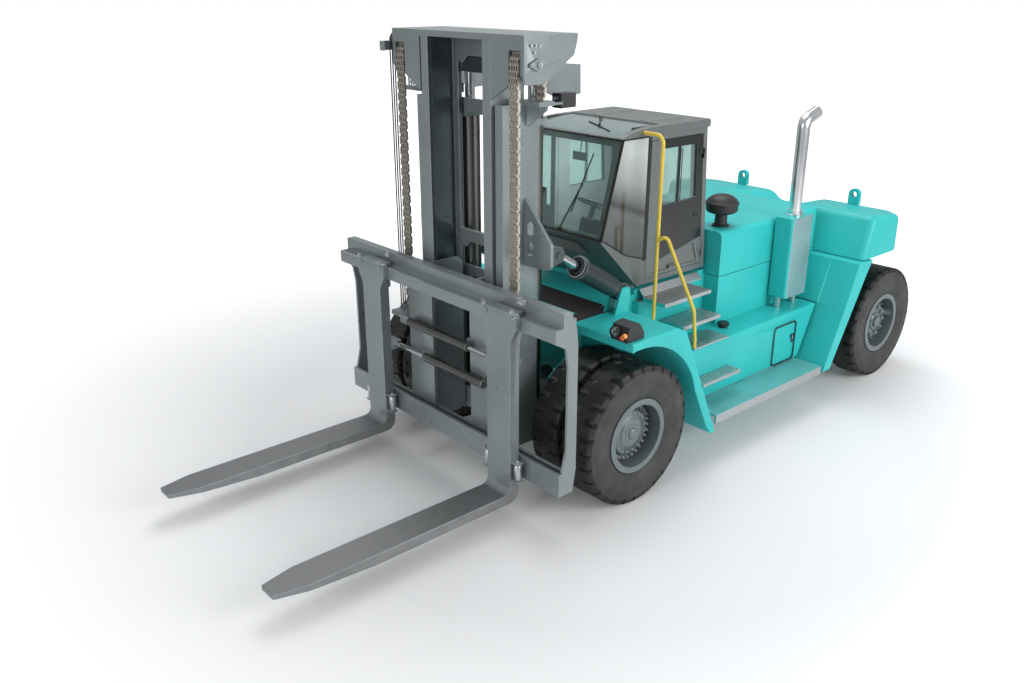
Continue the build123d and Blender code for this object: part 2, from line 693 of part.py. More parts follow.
def make_left_tank():
    face = TANK_OUTER - SHEET
    inner = block(TANK_OUTER - HATCH_DEPTH, TANK_OUTER + 10, HATCH_Y0 + HATCH_LAND, HATCH_Y1 - HATCH_LAND,
                  HATCH_Z0 + HATCH_LAND, HATCH_Z1 - HATCH_LAND)
    seat = block(face - RUNNING_GAP, TANK_OUTER + 10, HATCH_Y0 - SHUT_GAP, HATCH_Y1 + SHUT_GAP, HATCH_Z0 - SHUT_GAP,
                 HATCH_Z1 + SHUT_GAP)
    seat = fillet(seat.edges().filter_by(Axis.X), HATCH_CORNER + SHUT_GAP)
    return make_tank() - inner - seat


def make_hatch():
    panel = block(TANK_OUTER - SHEET, TANK_OUTER, HATCH_Y0, HATCH_Y1, HATCH_Z0, HATCH_Z1)
    panel = fillet(panel.edges().filter_by(Axis.X), HATCH_CORNER)
    grip_z = (HATCH_Z0 + HATCH_Z1) / 2
    return panel + bar_x(22, TANK_OUTER - 2, TANK_OUTER + 12, HATCH_Y1 - 83, grip_z)


def make_side_cover():
    top = HOOD_SPLIT - 8
    cover = block(HOOD_HALF - COVER_PLATE, HOOD_HALF, HOOD_FRONT, HOOD_REAR, TANK_TOP, top)
    return cover + block(BODY_HALF, HOOD_HALF, HOOD_FRONT, HOOD_FRONT + COVER_PLATE, TANK_TOP, top)


def make_hood():
    outline = [(-HOOD_HALF, HOOD_SPLIT), (-HOOD_HALF, HOOD_TOP), (HOOD_HALF, HOOD_TOP), (HOOD_HALF, HOOD_SPLIT)]
    inside = HOOD_HALF - SHEET
    inner = [(-inside, HOOD_SPLIT - 10), (-inside, HOOD_TOP - SHEET), (inside, HOOD_TOP - SHEET), (inside, HOOD_SPLIT - 10)]
    hood = front_plate(outline, HOOD_FRONT, HOOD_REAR, {1: HOOD_EDGE, 2: HOOD_EDGE})
    room = front_plate(inner, HOOD_FRONT + SHEET, HOOD_REAR - SHEET, {1: HOOD_EDGE - SHEET, 2: HOOD_EDGE - SHEET})
    return hood - room


def make_engine():
    return block(-ENGINE_HALF, ENGINE_HALF, ENGINE_FRONT, ENGINE_FRONT + ENGINE_LENGTH, ENGINE_BOTTOM, ENGINE_TOP)


# Muffler with its bent stack, and the air pre-cleaner on the hood

def make_muffler():
    box = block(MUFFLER_X0, MUFFLER_X1, MUFFLER_Y0, MUFFLER_Y1, MUFFLER_Z0, MUFFLER_Z1)
    box = fillet(box.edges().filter_by(Axis.Z), MUFFLER_EDGE)
    for y in (MUFFLER_Y0 + STUB_INSET, MUFFLER_Y1 - STUB_INSET):
        box += bar_z(STUB_RADIUS, TANK_TOP, MUFFLER_Z0, STACK_X, y)
    return box


def make_stack():
    elbow = MUFFLER_Z1 + STACK_ELBOW
    tip = (STACK_X, STACK_Y + STACK_TIP_Y, elbow + STACK_TIP_Z)
    route = [(STACK_X, STACK_Y, MUFFLER_Z1), (STACK_X, STACK_Y, elbow), tip]
    stack = tube_run(route, STACK_RADIUS, STACK_BEND)
    angle = math.atan2(STACK_TIP_Z, STACK_TIP_Y)
    bore_start = (STACK_X, tip[1] - STACK_BORE * math.cos(angle), tip[2] - STACK_BORE * math.sin(angle))
    line = Plane(origin=bore_start, z_dir=(0, math.cos(angle), math.sin(angle)))
    stack -= extrude(line * Circle(STACK_RADIUS - STACK_WALL), amount=STACK_BORE + 50)
    cut = side_plate([(tip[1] + 60, tip[2] + 200), (tip[1] - 15, tip[2] + 75), (tip[1] + 45, tip[2] - 130),
                      (tip[1] + 200, tip[2] - 130)], STACK_X - 100, STACK_X + 100)
    stack -= cut
    collar = turned_z([(0, MUFFLER_Z1), (STACK_RADIUS + 26, MUFFLER_Z1), (STACK_RADIUS + 26, MUFFLER_Z1 + 14),
                       (STACK_RADIUS + 12, MUFFLER_Z1 + 20), (STACK_RADIUS + 12, MUFFLER_Z1 + 70), (0, MUFFLER_Z1 + 70)],
                      STACK_X, STACK_Y)
    return stack + collar


def make_precleaner():
    foot = HOOD_TOP
    profile = [
        (0, foot), (120, foot), (120, foot + 20), (95, foot + 30), (95, foot + 150), (CLEANER_RADIUS - 12, foot + 195),
        (CLEANER_RADIUS, foot + 215), (CLEANER_RADIUS, foot + 300), (CLEANER_RADIUS - 14, foot + 318),
        (125, foot + 372), (40, foot + 390), (0, foot + 390),
    ]
    return turned_z(profile, CLEANER_X, CLEANER_Y)


# Counterweight: a casting made from its three outlines, with a notch for the hood and two lifting eyes

def make_counterweight():
    side = [(WEIGHT_FRONT, WEIGHT_BOTTOM), (WEIGHT_REAR - 170, WEIGHT_BOTTOM), (WEIGHT_REAR - 90, WEIGHT_BOTTOM + 25),
            (WEIGHT_REAR, WEIGHT_REAR_TOP), (WEIGHT_FRONT + 40, WEIGHT_FRONT_TOP)]
    slab = side_plate(side, -WEIGHT_HALF, WEIGHT_HALF, {2: 60, 3: 50, 4: 30})
    plan = [(-WEIGHT_HALF, WEIGHT_FRONT - 100), (WEIGHT_HALF, WEIGHT_FRONT - 100), (WEIGHT_HALF, WEIGHT_REAR - 205),
            (WEIGHT_HALF - 170, WEIGHT_REAR - 40), (900, WEIGHT_REAR + 10), (-900, WEIGHT_REAR + 10),
            (170 - WEIGHT_HALF, WEIGHT_REAR - 40), (-WEIGHT_HALF, WEIGHT_REAR - 205)]
    slab &= top_plate(plan, 0, 3000, {2: 120, 3: 120, 6: 120, 7: 120})
    ends = [(-WEIGHT_HALF, 0), (WEIGHT_HALF, 0), (WEIGHT_HALF - 12, WEIGHT_FRONT_TOP + 20),
            (12 - WEIGHT_HALF, WEIGHT_FRONT_TOP + 20)]
    slab &= front_plate(ends, WEIGHT_FRONT - 200, WEIGHT_REAR + 100)
    top_edges = [edge for edge in slab.edges() if abs(edge.center().X) > WEIGHT_HALF - 30 and edge.length > 500
                 and edge.center().Z > WEIGHT_REAR_TOP - 60]
    slab = fillet(top_edges, WEIGHT_EDGE)
    floor_z = WEIGHT_REAR_TOP - NOTCH_DEPTH + 35
    above = WEIGHT_FRONT_TOP + 200
    slab -= front_plate([(-NOTCH_HALF, above), (-NOTCH_HALF, floor_z + NOTCH_DEPTH), (-NOTCH_FLOOR_HALF, floor_z),
                         (NOTCH_FLOOR_HALF, floor_z), (NOTCH_HALF, floor_z + NOTCH_DEPTH), (NOTCH_HALF, above)],
                        WEIGHT_FRONT - 100, WEIGHT_REAR + 200, {2: 60, 3: 60})
    lower = side_plate([(cradle_rear + 10, AXLE_Z - 152), (WEIGHT_REAR - 50, AXLE_Z - 192), (WEIGHT_REAR, AXLE_Z - 92),
                        (WEIGHT_REAR, WEIGHT_BOTTOM + 28), (WEIGHT_FRONT, WEIGHT_BOTTOM + 28), (WEIGHT_FRONT, FRAME_REAR_TOP),
                        (cradle_rear + 10, FRAME_REAR_TOP)], -WEIGHT_LOWER_HALF, WEIGHT_LOWER_HALF, {1: 40, 2: 40})
    casting = slab + lower
    eye_z = WEIGHT_REAR_TOP + EYE_RISE
    for x in (-EYE_X, EYE_X):
        eye = front_plate([(x - EYE_HALF, WEIGHT_REAR_TOP - 25), (x + EYE_HALF, WEIGHT_REAR_TOP - 25),
                           (x + EYE_HALF, eye_z + EYE_HALF - 5), (x - EYE_HALF, eye_z + EYE_HALF - 5)],
                          EYE_Y - EYE_PLATE / 2, EYE_Y + EYE_PLATE / 2, {2: EYE_HALF - 5, 3: EYE_HALF - 5})
        casting += eye - bar_y(EYE_HOLE, EYE_Y - EYE_PLATE, EYE_Y + EYE_PLATE, x, eye_z)
    return casting


def make_rear_wall():
    top = WEIGHT_BOTTOM - 10
    back = WHEELBASE - 505
    wall = side_plate([(TANK_REAR + 5, BOARD_TOP - BOARD_SKIRT), (TANK_REAR + 155, BOARD_TOP - BOARD_SKIRT),
                       (back - 330, TANK_TOP - 50), (back - 110, TANK_TOP + 350), (back, top), (back - 300, top),
                       (back - 510, TANK_TOP), (TANK_REAR + 45, BOARD_TOP - 10)], WALL_INNER, WALL_OUTER)
    upper = side_plate([(back - 530, TANK_TOP + SINK), (back - 350, TANK_TOP + SINK), (back - 110, TANK_TOP + 350),
                        (back, top), (back - 300, top)], HOOD_HALF, TANK_OUTER)
    return wall + upper


# Steps, running boards and handrails

def tread(x0, x1, y0, y1, top):
    """A folded tread: a plate with its outer edge turned down and three bars under it."""
    plate = block(x0, x1, y0, y1, top - TREAD_PLATE, top)
    under = block(x0 + 30, x1 - 8, y0 + 8, y1 - 8, top - TREAD_PLATE - 5, top - 8)
    return plate - under + block(x0, x1 - 8, (y0 + y1) / 2 - 10, (y0 + y1) / 2 + 10, top - TREAD_PLATE, top)


def make_steps():
    tops = [DECK_TOP - drop for inner, outer, drop, front, rear in STEP_TABLE]
    treads = [tread(x0, x1, y0, y1, top) for (x0, x1, drop, y0, y1), top in zip(STEP_TABLE, tops)]
    low_front, low_rear = 1320, 1920
    second_under = tops[1] - TREAD_PLATE
    riser = side_plate([(950, TANK_TOP + 200), (1300, TANK_TOP), (1880, TANK_TOP), (1880, second_under),
                        (1780, second_under), (1780, tops[0] - TREAD_PLATE), (950, tops[0] - TREAD_PLATE)], BODY_HALF, 775)
    box = block(775, 880, 1300, 1880, TANK_TOP, second_under)
    third = block(960, TANK_OUTER + 12, low_front, low_rear, TANK_TOP, TANK_TOP + TREAD_PLATE / 2)
    upper = riser + box + treads[0] + treads[1] + third
    lower = tread(TANK_OUTER - 30, LOW_STEP_X, 1310, 1970, LOW_STEP_Z) - block(0, TANK_OUTER, 1000, 2400, 0, 3000)
    return [upper, lower]


def make_running_board():
    board = block(TANK_OUTER + SINK, BOARD_OUTER, TANK_FRONT, BOARD_REAR, BOARD_TOP - BOARD_PLATE, BOARD_TOP)
    board += block(BOARD_OUTER - 25, BOARD_OUTER, TANK_FRONT, BOARD_REAR, BOARD_TOP - BOARD_SKIRT, BOARD_TOP)
    for share in (0.1, 0.5, 0.9):
        y = TANK_FRONT + (BOARD_REAR - TANK_FRONT) * share
        board += block(TANK_OUTER - 120, BOARD_OUTER - 25, y - 20, y + 20, TANK_BOTTOM - 60, TANK_BOTTOM)
    return board


def make_handrail():
    riser_face = 775
    first = tube_run([(CAB_HALF, RAIL_Y, ROOF_UNDER + 40), (RAIL_X, RAIL_Y, ROOF_UNDER + 40), (RAIL_X, RAIL_Y, RAIL_ROOT_Z),
                      (riser_face, RAIL_Y, RAIL_ROOT_Z)], RAIL_RADIUS, 90)
    second = tube_run([(RAIL_X, RAIL_Y, RAIL_BRANCH_Z), (RAIL_X + 100, RAIL_Y + 15, RAIL_BRANCH_Z + 70),
                       (1260, 1260, TANK_TOP + 460), (1235, 1345, TANK_TOP + 100), (1235, 1345, TANK_TOP + TREAD_PLATE / 2)],
                      RAIL_RADIUS, [50, 200, 100])
    return first + second


# Cab: walls, roof, glass, doors and what shows inside

CAB_SIDE = [
    (NOSE_Y, NOSE_Z), (DOOR_FRONT - 126, CAB_FLOOR), (CAB_REAR_LOW, CAB_FLOOR), (CAB_REAR_HIGH, ROOF_UNDER),
    (SCREEN_TOP_Y, ROOF_UNDER),
]
CAB_INSIDE = [
    (NOSE_Y + 60, NOSE_Z + 21), (DOOR_FRONT - 110, CAB_FLOOR + FLOOR_PLATE), (CAB_REAR_LOW - 56, CAB_FLOOR + FLOOR_PLATE),
    (CAB_REAR_HIGH - 48, ROOF_UNDER + 10), (SCREEN_TOP_Y + 59, ROOF_UNDER + 10),
]
QUARTER_WINDOW = [
    (NOSE_Y + 92, NOSE_Z + 9), (NOSE_Y + 382, NOSE_Z - 191), (DOOR_FRONT - 50, NOSE_Z - 276), (DOOR_FRONT - 50, ROOF_UNDER - 75),
    (SCREEN_TOP_Y + 69, ROOF_UNDER - 75),
]
SCREEN_LOW = NOSE_Z + 49
SCREEN_HIGH = ROOF_UNDER - 75
REAR_WINDOW_LOW = CAB_FLOOR + 668
REAR_WINDOW_HIGH = ROOF_UNDER - 95
DOOR_WINDOW = [
    (DOOR_FRONT + 190, DOOR_BOTTOM + 760), (DOOR_REAR - 165, DOOR_BOTTOM + 760), (DOOR_REAR - 205, DOOR_TOP - 100),
    (DOOR_FRONT + 190, DOOR_TOP - 100),
]
door_lean_angle = math.degrees(math.atan2(DOOR_LEAN, DOOR_TOP - DOOR_BOTTOM))
screen_slope = (CAB_INSIDE[4][0] - CAB_INSIDE[0][0]) / (CAB_INSIDE[4][1] - CAB_INSIDE[0][1])


def door_outline(gap):
    return [(DOOR_FRONT + gap, DOOR_BOTTOM + gap), (DOOR_REAR - gap, DOOR_BOTTOM + gap),
            (DOOR_REAR - DOOR_LEAN - gap, DOOR_TOP - gap), (DOOR_FRONT + gap, DOOR_TOP - gap)]


def hinge_y(z):
    return DOOR_REAR - (z - DOOR_BOTTOM) * DOOR_LEAN / (DOOR_TOP - DOOR_BOTTOM)


def hinge_leaf(z, low, high, reach):
    """Knuckle on the leaning hinge line from low to high round z, with its leaf reaching along y."""
    leaf = Pos(0, 0, (low + high) / 2) * Cylinder(HINGE_RADIUS, high - low)
    leaf += block(CAB_HALF - HINGE_X, CAB_HALF - HINGE_X + 10, 0, reach, low, high)
    return Pos(HINGE_X, hinge_y(z), z) * Rot(door_lean_angle, 0, 0) * leaf


def make_louvres():
    """Slots across the sloping panel under the windscreen."""
    foot_y, foot_z = CAB_SIDE[1]
    angle = math.atan2(foot_z - NOSE_Z, foot_y - NOSE_Y)
    slots = []
    for number in range(LOUVRES):
        along = 120 + number * LOUVRE_PITCH
        y = NOSE_Y + along * math.cos(angle)
        z = NOSE_Z + along * math.sin(angle)
        slots.append(Pos(0, y, z) * Rot(math.degrees(angle), 0, 0) * Box(560, 16, 24))
    return slots


def make_cab():
    beyond = CAB_HALF + 10
    shell = side_plate(CAB_SIDE, -CAB_HALF, CAB_HALF, {0: 30, 1: 40})
    shell -= side_plate(CAB_INSIDE, -CAB_HALF + CAB_WALL, CAB_HALF - CAB_WALL)
    shell -= side_plate(door_outline(0), -beyond, beyond)
    shell -= side_plate(QUARTER_WINDOW, -beyond, beyond)
    screen_half = CAB_HALF - 70
    shell -= front_plate([(-screen_half, SCREEN_LOW), (screen_half, SCREEN_LOW), (screen_half - 30, SCREEN_HIGH),
                          (30 - screen_half, SCREEN_HIGH)], NOSE_Y - 100, SCREEN_TOP_Y + 120)
    shell -= front_plate([(-REAR_WINDOW_HALF, REAR_WINDOW_LOW), (REAR_WINDOW_HALF, REAR_WINDOW_LOW),
                          (REAR_WINDOW_HALF, REAR_WINDOW_HIGH), (-REAR_WINDOW_HALF, REAR_WINDOW_HIGH)],
                         CAB_REAR_HIGH - 110, CAB_REAR_LOW + 80)
    for slot in make_louvres():
        shell -= slot
    for x in (-CAB_HALF + 140, CAB_HALF - 140):
        for y in (DECK_FRONT + 60, DECK_REAR - 80):
            shell += bar_z(MOUNT_RADIUS, DECK_TOP, CAB_FLOOR + SINK, x, y)
    for z in HINGE_HEIGHTS:
        leaf = hinge_leaf(z, -HINGE_HALF, -RUNNING_GAP, 45)
        shell += leaf + other_side(leaf)
    return shell


def make_roof():
    side = [(SCREEN_TOP_Y - 26, ROOF_UNDER), (CAB_REAR_HIGH + 5, ROOF_UNDER), (CAB_REAR_HIGH + 15, ROOF_TOP - 20),
            (CAB_REAR_HIGH - 20, ROOF_TOP), (SCREEN_TOP_Y + 54, ROOF_TOP), (SCREEN_TOP_Y - 22, ROOF_TOP - 45)]
    roof = side_plate(side, -CAB_HALF, CAB_HALF, {3: 15, 4: 40, 5: 20})
    front = [(-CAB_HALF, ROOF_UNDER - 10), (CAB_HALF, ROOF_UNDER - 10), (CAB_HALF, ROOF_TOP), (-CAB_HALF, ROOF_TOP)]
    roof &= front_plate(front, NOSE_Y, CAB_REAR_LOW, {2: ROOF_EDGE, 3: ROOF_EDGE})
    hatch = block(-ROOF_WINDOW_HALF, ROOF_WINDOW_HALF, 790, 1500, ROOF_UNDER - 10, ROOF_TOP + 10)
    return roof - fillet(hatch.edges().filter_by(Axis.Z), 40)


def make_glass():
    pane_x = CAB_HALF - GLASS_SETBACK
    quarter = side_plate(QUARTER_WINDOW, pane_x, pane_x + GLASS)
    screen_y = CAB_INSIDE[0][0] - 31
    low_y = screen_y + (SCREEN_LOW - NOSE_Z) * screen_slope
    high_y = screen_y + (SCREEN_HIGH - NOSE_Z) * screen_slope
    half = CAB_HALF - 102
    screen = side_plate([(low_y, SCREEN_LOW), (low_y + GLASS, SCREEN_LOW), (high_y + GLASS, SCREEN_HIGH),
                         (high_y, SCREEN_HIGH)], -half, half)
    rear_low, rear_high = CAB_REAR_LOW - 98, CAB_REAR_LOW - 170
    rear = side_plate([(rear_low, REAR_WINDOW_LOW), (rear_low + GLASS, REAR_WINDOW_LOW),
                       (rear_high + GLASS, REAR_WINDOW_HIGH), (rear_high, REAR_WINDOW_HIGH)],
                      -REAR_WINDOW_HALF, REAR_WINDOW_HALF)
    inset = ROOF_WINDOW_HALF
    roof = block(-inset, inset, 790, 1500, ROOF_TOP - 40, ROOF_TOP - 40 + GLASS)
    roof = fillet(roof.edges().filter_by(Axis.Z), 40)
    return both_sides(quarter) + [screen, rear, roof]


def make_door():
    inside = CAB_HALF - CAB_WALL
    door = side_plate(door_outline(SHUT_GAP), inside, CAB_HALF)
    door -= side_plate(DOOR_WINDOW, inside - 10, CAB_HALF + 10, {0: 25, 1: 25, 2: 25, 3: 25})
    recess_low, recess_high = DOOR_BOTTOM + 40, DOOR_BOTTOM + 190
    door -= side_plate([(DOOR_FRONT + 60, recess_low), (DOOR_REAR - 70, recess_low), (DOOR_REAR - 150, recess_high + 70),
                        (DOOR_FRONT + 150, recess_high)], CAB_HALF - 14, CAB_HALF + 10, {0: 20, 1: 20, 2: 40, 3: 40})
    slider_y = (DOOR_WINDOW[0][0] + DOOR_WINDOW[1][0]) / 2
    door += block(CAB_HALF - 40, CAB_HALF - 22 - GLASS + 20, slider_y - 12, slider_y + 12, DOOR_WINDOW[0][1] - SINK,
                  DOOR_WINDOW[2][1] + SINK) - make_door_glass()
    for z in HINGE_HEIGHTS:
        door += hinge_leaf(z, 0, HINGE_HALF, -60)
    handle_y = (DOOR_FRONT + DOOR_REAR) / 2 - 45
    grip = block(CAB_HALF - 15, CAB_HALF + 22, handle_y - 55, handle_y + 55, DOOR_BOTTOM + 50, DOOR_BOTTOM + 85)
    return door + fillet(grip.edges().filter_by(Axis.X), 12)


def make_door_glass():
    pane_x = CAB_HALF - GLASS_SETBACK
    return side_plate(DOOR_WINDOW, pane_x, pane_x + GLASS, {0: 25, 1: 25, 2: 25, 3: 25})


def make_seat():
    under = SEAT_TOP - CUSHION
    seat = side_plate([(SEAT_FRONT, under), (SEAT_REAR, under), (SEAT_REAR, SEAT_TOP), (SEAT_FRONT, SEAT_TOP)],
                      -SEAT_HALF, SEAT_HALF, {2: 30, 3: 50})
    seat += side_plate([(SEAT_REAR - 60, SEAT_TOP - 40), (SEAT_REAR + 40, SEAT_TOP - 40), (SEAT_REAR + 130, SEAT_TOP + 640),
                        (SEAT_REAR + 50, SEAT_TOP + 640)], 10 - SEAT_HALF, SEAT_HALF - 10, {2: 35, 3: 35})
    return seat + block(-160, 160, SEAT_FRONT + 80, SEAT_REAR - 60, CAB_FLOOR + FLOOR_PLATE, under)


def make_controls():
    foot = CAB_FLOOR + FLOOR_PLATE
    (nose_y, nose_z), (foot_y, foot_z) = CAB_INSIDE[:2]
    slope = (nose_y - foot_y) / (nose_z - foot_z)
    knee = 178
    column = side_plate([(foot_y + BEARING_GAP + knee * slope, foot + knee), (foot_y + BEARING_GAP, foot), (foot_y + 90, foot),
                         (WHEEL_Y - 10, WHEEL_Z - 160), (WHEEL_Y - 110, WHEEL_Z - 130)], -90, 90, {3: 25, 4: 25})
    wheel = Torus(WHEEL_RADIUS, 16) + Cylinder(42, 30) + Pos(0, 0, -COLUMN_TUBE / 2) * Cylinder(28, COLUMN_TUBE)
    for angle in (0, 120, 240):
        wheel += Rot(0, 0, angle) * Pos(WHEEL_RADIUS / 2, 0, 0) * Box(WHEEL_RADIUS, 30, 14)
    return column + Pos(0, WHEEL_Y, WHEEL_Z) * Rot(-WHEEL_LEAN, 0, 0) * wheel


# Mast: the outer rails carry the lift cylinders, the inner rails run inside them on rollers

def channel(web, lip, front, back, z0, z1):
    """One rolled mast rail on the left side, open towards the middle, with rounded roots."""
    outline = [(web, front), (web, back), (lip, back), (lip, back - RAIL_FLANGE), (web - RAIL_WEB, back - RAIL_FLANGE),
               (web - RAIL_WEB, front + RAIL_FLANGE), (lip, front + RAIL_FLANGE), (lip, front)]
    return top_plate(outline, z0, z1, {0: 8, 1: 8, 4: RAIL_ROOT, 5: RAIL_ROOT})


def tie(half, z0, z1, front, back):
    """A flat tie across both rails with a scooped lower edge."""
    dip = min(60, (z1 - z0) / 3)
    return front_plate([(-half, z0), (-half + 90, z0), (-half + 150, z0 + dip), (half - 150, z0 + dip), (half - 90, z0),
                        (half, z0), (half, z1), (-half, z1)], front, back, {2: 30, 3: 30})


def roller(radius, inner_x, outer_x, y, z):
    """A mast roller whose outer edge is bevelled clear of the rail's rounded root."""
    return turned_x([(inner_x, 0), (inner_x, radius), (outer_x - RAIL_ROOT, radius), (outer_x, radius - RAIL_ROOT),
                     (outer_x, 0)], y, z)


def make_outer_mast():
    rail = channel(OUTER_WEB, OUTER_LIP, OUTER_FRONT, OUTER_BACK, OUTER_BOTTOM, OUTER_TOP)
    foot_in = FOOT_OUTER - FOOT_PLATE
    foot = side_plate([(OUTER_BACK - SINK, PIVOT_Z - 120), (PIVOT_Y + 20, PIVOT_Z - 95), (PIVOT_Y + 90, PIVOT_Z - 30),
                       (PIVOT_Y + 90, PIVOT_Z + 40), (PIVOT_Y + 30, PIVOT_Z + 100), (OUTER_BACK - SINK, PIVOT_Z + 330)],
                      foot_in, FOOT_OUTER, {1: 40, 2: 50, 3: 40, 4: 30})
    foot -= bar_x(PIVOT_RADIUS + RUNNING_GAP, foot_in - 5, FOOT_OUTER + 5, PIVOT_Y, PIVOT_Z)
    lug = front_plate([(OUTER_WEB - SINK, TILT_EYE_Z - 142), (LUG_X, TILT_EYE_Z - 122), (LUG_X, TILT_EYE_Z + 118),
                       (OUTER_WEB - SINK, TILT_EYE_Z + 508)], LUG_Y0, LUG_Y1, {1: 50, 2: 60})
    for z in (TILT_EYE_Z + 40, TILT_EYE_Z + 235):
        hole = front_plate([(OUTER_WEB + 45, z - 75), (OUTER_WEB + 125, z - 75), (OUTER_WEB + 125, z + 45),
                            (OUTER_WEB + 45, z + 75)], LUG_Y0 - 5, LUG_Y1 + 5, {0: 38, 1: 38, 2: 30, 3: 30})
        lug -= hole
    for x0 in (TILT_X - 70, TILT_X + 50):
        lug += side_plate([(LUG_Y0, TILT_EYE_Z - 100), (TILT_EYE_Y + 40, TILT_EYE_Z - 70), (TILT_EYE_Y + 75, TILT_EYE_Z),
                           (TILT_EYE_Y + 40, TILT_EYE_Z + 70), (LUG_Y0, TILT_EYE_Z + 100)], x0, x0 + 20,
                          {1: 40, 2: 40, 3: 40})
    lug += bar_x(TILT_PIN, TILT_X - 80, TILT_X + 80, TILT_EYE_Y, TILT_EYE_Z)
    shelf_x = SHEAVE_X + CHAIN_WIDTH / 2 + 19
    shelf_under = REAR_ANCHOR_Z - 40
    shelf = block(OUTER_WEB - SINK, shelf_x, SHEAVE_Y + 60, SHEAVE_Y + 240, shelf_under, REAR_ANCHOR_Z)
    shelf += block(OUTER_WEB - SINK, OUTER_WEB + 25, SHEAVE_Y + 60, SHEAVE_Y + 240, shelf_under - 220, shelf_under + BEARING_GAP)
    shelf += front_plate([(OUTER_WEB, shelf_under - 220), (shelf_x, shelf_under - 30), (shelf_x, shelf_under + BEARING_GAP),
                          (OUTER_WEB, shelf_under + BEARING_GAP)], SHEAVE_Y + 140, SHEAVE_Y + 165)
    lamp_arm = block(LIGHT_X - 80, LIGHT_X + 80, SHEAVE_Y + 235, LIGHT_FRONT, shelf_under, shelf_under + 20)
    half = rail + foot + lug + shelf + lamp_arm
    mast = half + other_side(half)
    mast += block(HOSE_X[-1] - 30, -shelf_x + SINK, SHEAVE_Y + 60, SHEAVE_Y + 140, shelf_under, REAR_ANCHOR_Z)
    for z0, z1 in ((OUTER_BOTTOM + 50, OUTER_BOTTOM + 300), (OUTER_BOTTOM + 1480, OUTER_BOTTOM + 1640),
                   (OUTER_TOP - 240, OUTER_TOP - 40)):
        mast += tie(OUTER_LIP + SINK, z0, z1, TIE_FRONT, TIE_BACK)
    for side in SIDES:
        near, far = side * (LIFT_X - 90), side * (OUTER_LIP + 15)
        mast += block(near, far, TIE_FRONT, LIFT_Y + 100, LIFT_FOOT - SADDLE, LIFT_FOOT)
        mast += side_plate([(TIE_FRONT, LIFT_FOOT - SADDLE), (TIE_FRONT, LIFT_FOOT - 160), (LIFT_Y + 60, LIFT_FOOT - SADDLE)],
                           side * (LIFT_X - 20), side * (LIFT_X + 20))
        strap = block(side * (LIFT_X - 100), side * (LIFT_X + 100), TIE_FRONT, LIFT_Y + 60, LIFT_GLAND - 140, LIFT_GLAND - 80)
        mast += strap - bar_z(LIFT_BARREL, LIFT_GLAND - 200, LIFT_GLAND, side * LIFT_X, LIFT_Y)
    return mast


def make_lift_cylinder(side):
    x = side * LIFT_X
    barrel = bar_z(LIFT_BARREL - RUNNING_GAP, LIFT_FOOT, LIFT_GLAND - 40, x, LIFT_Y)
    barrel += bar_z(LIFT_BARREL - 8, LIFT_GLAND - 42, LIFT_GLAND, x, LIFT_Y)
    return barrel - bar_z(LIFT_ROD + RUNNING_GAP, LIFT_FOOT + LIFT_BOTTOM, LIFT_GLAND + 10, x, LIFT_Y)


def make_lift_rod(side):
    return bar_z(LIFT_ROD, LIFT_FOOT + 200, INNER_TOP, side * LIFT_X, LIFT_Y)


def make_inner_mast():
    rail = channel(INNER_WEB, INNER_LIP, INNER_FRONT, INNER_BACK, INNER_BOTTOM, INNER_TOP)
    middle = (OUTER_FRONT + OUTER_BACK) / 2
    radius = (OUTER_BACK - OUTER_FRONT) / 2 - RAIL_FLANGE - RUNNING_GAP
    for z in (INNER_BOTTOM + 270, INNER_BOTTOM + 1050):
        rail += roller(radius, INNER_WEB + 12, OUTER_WEB - RAIL_WEB - SINK, middle, z)
        rail += bar_x(70, INNER_WEB - 10, INNER_WEB + 14, middle, z)
    mast = rail + other_side(rail)
    for z0, z1 in ((INNER_BOTTOM + 30, INNER_BOTTOM + 250), (INNER_BOTTOM + 1830, INNER_BOTTOM + 2010)):
        mast += tie(INNER_LIP + SINK, z0, z1, INNER_BACK - RAIL_FLANGE, INNER_BACK)
    return mast + tie(INNER_LIP + SINK, INNER_TOP - 240, INNER_TOP, INNER_BACK - RAIL_FLANGE, INNER_BACK)


def make_mast_head():
    cap = block(-HEAD_HALF, HEAD_HALF, HEAD_FRONT, HEAD_BACK, INNER_TOP, HEAD_TOP)
    bottom = SHEAVE_Z - SHEAVE_RADIUS - 26
    cheek = [(HEAD_FRONT, INNER_TOP + BEARING_GAP), (HEAD_FRONT, bottom + 75), (HEAD_FRONT + 26, bottom),
             (HEAD_FRONT + 236, bottom), (HEAD_BACK - 35, INNER_TOP - 120), (HEAD_BACK, INNER_TOP + BEARING_GAP)]
    half = side_plate(cheek, HEAD_HALF - CHEEK, HEAD_HALF, {2: 25, 3: 50, 4: 30})
    half += side_plate(cheek, CHEEK_INNER, CHEEK_INNER + CHEEK, {2: 25, 3: 50, 4: 30})
    half += front_plate([(INNER_WEB + SINK, INNER_TOP + BEARING_GAP), (HEAD_HALF - 20, INNER_TOP + BEARING_GAP),
                         (HEAD_HALF - 20, bottom + 85), (INNER_WEB + SINK, bottom - 149)], HEAD_FRONT, HEAD_FRONT + 28)
    half -= block(SHEAVE_X - 75, SHEAVE_X + 75, HEAD_FRONT - 60, HEAD_FRONT + 60, bottom - 300, SHEAVE_Z + 114)
    half += bar_x(SHEAVE_PIN, CHEEK_INNER + BEARING_GAP, HEAD_HALF + 20, SHEAVE_Y, SHEAVE_Z)
    head = cap + half + other_side(half)
    return head + bar_x(HOSE_PIN, -HEAD_HALF - 115, -HEAD_HALF, SHEAVE_Y, HOSE_PULLEY_Z)


